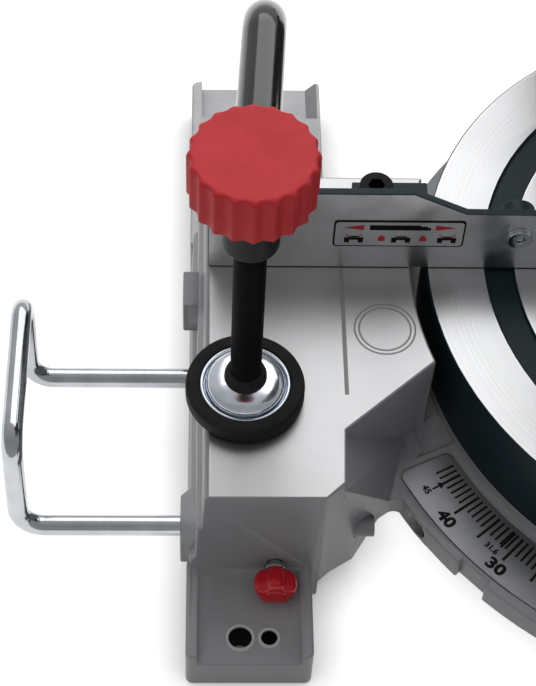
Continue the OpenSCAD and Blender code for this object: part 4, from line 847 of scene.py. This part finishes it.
# %% Table extensions and clamp bar
wire_r, wire_bend, bar_r, bar_bend = 4.5 * mm, 11 * mm, 9 * mm, 24 * mm
paint_x = 186
WIRE_PATH = [(174, -23, 30), (paint_x, -23, 30), (328, -23, 30), (328, -13, 80.5),
             (328, -90, 80.5), (328, -100, 30), (paint_x, -100, 30), (174, -100, 30)]
for side, way in (("left", -1), ("right", 1)):
    bm = rod(rounded_path([Vector((way * x, y, z)) * mm for x, y, z in WIRE_PATH], wire_bend), wire_r, 32)
    zones(bm, [(1, lambda n, c: abs(c.x) < paint_x * mm)])
    stand_for(side + "_extension_wire", bm, [side + "_extension"], ["chrome", "cast_paint"], sharp=60)
post = Vector((-224 * mm, 50 * mm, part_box("clamp_arm")[0].z))
reach_out = Vector((spindle.x - post.x, spindle.y - post.y, 0))
corner = Vector((post.x, post.y, collar.z + 11 * mm))
bar_end = corner + reach_out.normalized() * (reach_out.length - 6.7 * mm)
bm = rod(rounded_path([post, corner, bar_end], bar_bend, 20), bar_r, 48)
stand_for("clamp_bar_bent", bm, ["clamp_arm"], ["black_bar"], sharp=60)
print("clamp reaches", round(reach_out.length / mm, 1), "mm from its post")

# %% [markdown]
# ## Drive belt
# The belt runs round the arbor's pulley and the motor's small one, with V ribs on its inside. One outline
# is spun about the big pulley, drawn along to the small one, spun there and drawn back to its start.

# %% Drive belt
belt_low, belt_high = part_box("drive_belt")
big, small = Vector((0, -31.874, 330.783)) * mm, Vector((0, 8.126, 387.783)) * mm
big_r, small_r = 32 * mm, 12 * mm
lean = math.atan2(small.z - big.z, small.y - big.y)
wrap = math.acos((big_r - small_r) / (small - big).length)

def out_from(middle, angle, radius):
    return middle + Vector((0, math.cos(angle), math.sin(angle))) * radius

def belt_path(offset):
    points = [out_from(big, lean + wrap + (2 * math.pi - 2 * wrap) * t / 40, big_r + offset) for t in range(41)]
    return points + [out_from(small, lean - wrap + 2 * wrap * t / 28, small_r + offset) for t in range(29)]

ribs = 4
span = (belt_high.x - belt_low.x) / ribs
profile = [(belt_low.x, 3 * mm), (belt_high.x, 3 * mm)]
for rib in range(ribs, 0, -1):
    profile += [(belt_low.x + span * (rib - t), d * mm) for t, d in ((.0, 1.2), (.3, .5), (.7, .5))]
profile.append((belt_low.x, 1.2 * mm))
bm = bmesh.new()
rings = [[bm.verts.new((x, p.y, p.z)) for p in belt_path(depth)] for x, depth in profile]
for ring, after in zip(rings, rings[1:] + rings[:1]):
    for t in range(len(ring)):
        u = (t + 1) % len(ring)
        bm.faces.new((ring[t], ring[u], after[u], after[t]))
bmesh.ops.recalc_face_normals(bm, faces=bm.faces)
stand_for("drive_belt_ribbed", bm, ["drive_belt"], ["black_rubber"], sharp=30)
print("belt ribs:", ribs)

# %% [markdown]
# ## Saw blade
# The blade is ground in fine rings, and each tooth carries a darker tip of carbide.

# %% Saw blade
bm, used = eased("saw_blade", 0.1 * mm)
blade_mid = (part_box("saw_blade")[0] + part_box("saw_blade")[1]) / 2
zones(bm, [(1, lambda n, c: math.hypot(c.y - blade_mid.y, c.z - blade_mid.z) > 120.5 * mm)])
stand_for("saw_blade_ground", bm, ["saw_blade"], ["blade_steel", "carbide"])
print("blade eased by", round(used / mm, 2), "mm")

# %% [markdown]
# ## Everything else
# The other solids keep their shape. Each becomes an eased copy in the finish of its slot, with a wider
# bevel on castings and a fine one on screws.

# %% Other pieces
SLOT_FINISH = {
    "head_cast": "head_paint", "bright_steel": "chrome", "plain_steel": "plain_steel", "dark_steel": "dark_steel",
    "black_plastic": "black_plastic", "red_plastic": "red_gloss", "teal_plastic": "teal_paint",
    "rubber": "black_rubber", "scale_plate": "scale_plate", "bronze": "bronze", "copper_core": "copper",
    "guard_plastic": "guard_plastic"}
WIDTH = {"head_arm": 2.0, "bevel_arm": 2.0, "head_bracket": 1.5, "rail_end_plate": 1.5, "motor_housing": 1.0,
         "belt_cover": 1.0, "detent_lever": 1.2, "trigger": 1.5, "bevel_lever": 1.2, "handle": 0.6,
         "upper_guard": 0.6}
OWN_FINISH = {"fence_screws": "black_thread", "left_face_screw": "chrome", "right_face_screw": "chrome"}
done = {n for o in bpy.data.objects for n in o.get("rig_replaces", [])}
for node in sorted(frame["nodes"]):
    if node not in done:
        bm, used = eased(node, WIDTH.get(node, 0.4) * mm)
        stand_for(node + "_look", bm, [node], [OWN_FINISH.get(node, SLOT_FINISH[slot_of[node]])])
        print(node, "eased by", round(used / mm, 2), "mm")

# %% [markdown]
# ## Floor and light
# The photograph has a white ground and one broad soft light from behind. The floor shines white to the
# camera and to mirrors, and still takes the shadow of the saw: close to a piece it shines less.

# %% Floor
bm = bmesh.new()
floor_z = cad_box[0][2] - 0.3 * mm
bmesh.ops.create_grid(bm, x_segments=4, y_segments=4, size=30, matrix=Matrix.Translation((0, 0, floor_z)))
ground = bpy.data.meshes.new("floor")
bm.to_mesh(ground)
bm.free()
floor = bpy.data.objects.new("floor", ground)
bpy.context.scene.collection.objects.link(floor)
white = bpy.data.materials.new("white_floor")
white.use_nodes = True
tree = white.node_tree
tree.nodes.clear()
out = tree.nodes.new("ShaderNodeOutputMaterial")
both = tree.nodes.new("ShaderNodeAddShader")
matt = tree.nodes.new("ShaderNodeBsdfDiffuse")
matt.inputs["Color"].default_value = (.4, .4, .4, 1)
glow = tree.nodes.new("ShaderNodeEmission")
path = tree.nodes.new("ShaderNodeLightPath")
seen = [path.outputs[n] for n in ("Is Camera Ray", "Is Glossy Ray", "Is Transmission Ray")]
total = seen[0]
for other in seen[1:]:
    most = tree.nodes.new("ShaderNodeMath")
    most.operation = "MAXIMUM"
    tree.links.new(total, most.inputs[0])
    tree.links.new(other, most.inputs[1])
    total = most.outputs[0]
level = tree.nodes.new("ShaderNodeMath")
level.operation = "MULTIPLY"
# The glow is dimmed close to any piece by ambient occlusion: a painted contact shadow, besides the real shadow that
# the diffuse part takes.
painted_contact_shadow = tree.nodes.new("ShaderNodeAmbientOcclusion")
painted_contact_shadow.inputs["Distance"].default_value = 0.02
strong = tree.nodes.new("ShaderNodeMath")
strong.operation = "MULTIPLY"
strong.inputs[1].default_value = 0.95
tree.links.new(painted_contact_shadow.outputs["AO"], strong.inputs[0])
tree.links.new(strong.outputs[0], level.inputs[1])
tree.links.new(total, level.inputs[0])
tree.links.new(level.outputs[0], glow.inputs["Strength"])
tree.links.new(matt.outputs[0], both.inputs[0])
tree.links.new(glow.outputs[0], both.inputs[1])
tree.links.new(both.outputs[0], out.inputs["Surface"])
ground.materials.append(white)
print("floor at", round(floor_z / mm, 2), "mm")

# %% [markdown]
# ## Sky and softbox
# The sky is brighter behind the saw than in front of it, so round metal shows dark and light bands. One
# large softbox stands behind and above.

# %% Sky and softbox
sky = bpy.data.worlds.new("sky")
bpy.context.scene.world = sky
sky.use_nodes = True
tree = sky.node_tree
shine = tree.nodes["Background"]
shine.inputs["Strength"].default_value = 0.8
toward = tree.nodes.new("ShaderNodeVectorMath")
toward.operation = "DOT_PRODUCT"
toward.inputs[1].default_value = (0, 0.45, 0.15)
tree.links.new(tree.nodes.new("ShaderNodeTexCoord").outputs["Generated"], toward.inputs[0])
part = tree.nodes.new("ShaderNodeMath")
part.operation = "ADD"
part.inputs[1].default_value = 0.5
tree.links.new(toward.outputs["Value"], part.inputs[0])
fade = tree.nodes.new("ShaderNodeValToRGB")
for number, (where, grey) in enumerate(((0, .50), (.36, .42), (.64, .60), (.95, .80))):
    stop = fade.color_ramp.elements[number] if number < 2 else fade.color_ramp.elements.new(where)
    stop.position, stop.color = where, (grey, grey * 1.01, grey * 1.03, 1)
tree.links.new(part.outputs[0], fade.inputs["Fac"])
tree.links.new(fade.outputs["Color"], shine.inputs["Color"])

def softbox(name, at, target, size, watts):
    lamp = bpy.data.lights.new(name, "AREA")
    lamp.shape, lamp.size, lamp.size_y, lamp.energy = "RECTANGLE", size[0], size[1], watts
    holder = bpy.data.objects.new(name, lamp)
    holder.matrix_world = facing(at, Vector(at) - Vector(target))
    bpy.context.scene.collection.objects.link(holder)
    return holder

softbox("key", (0.1, 1.1, 1.45), (-0.2, -0.05, 0.08), (2.0, 1.5), 14.5)
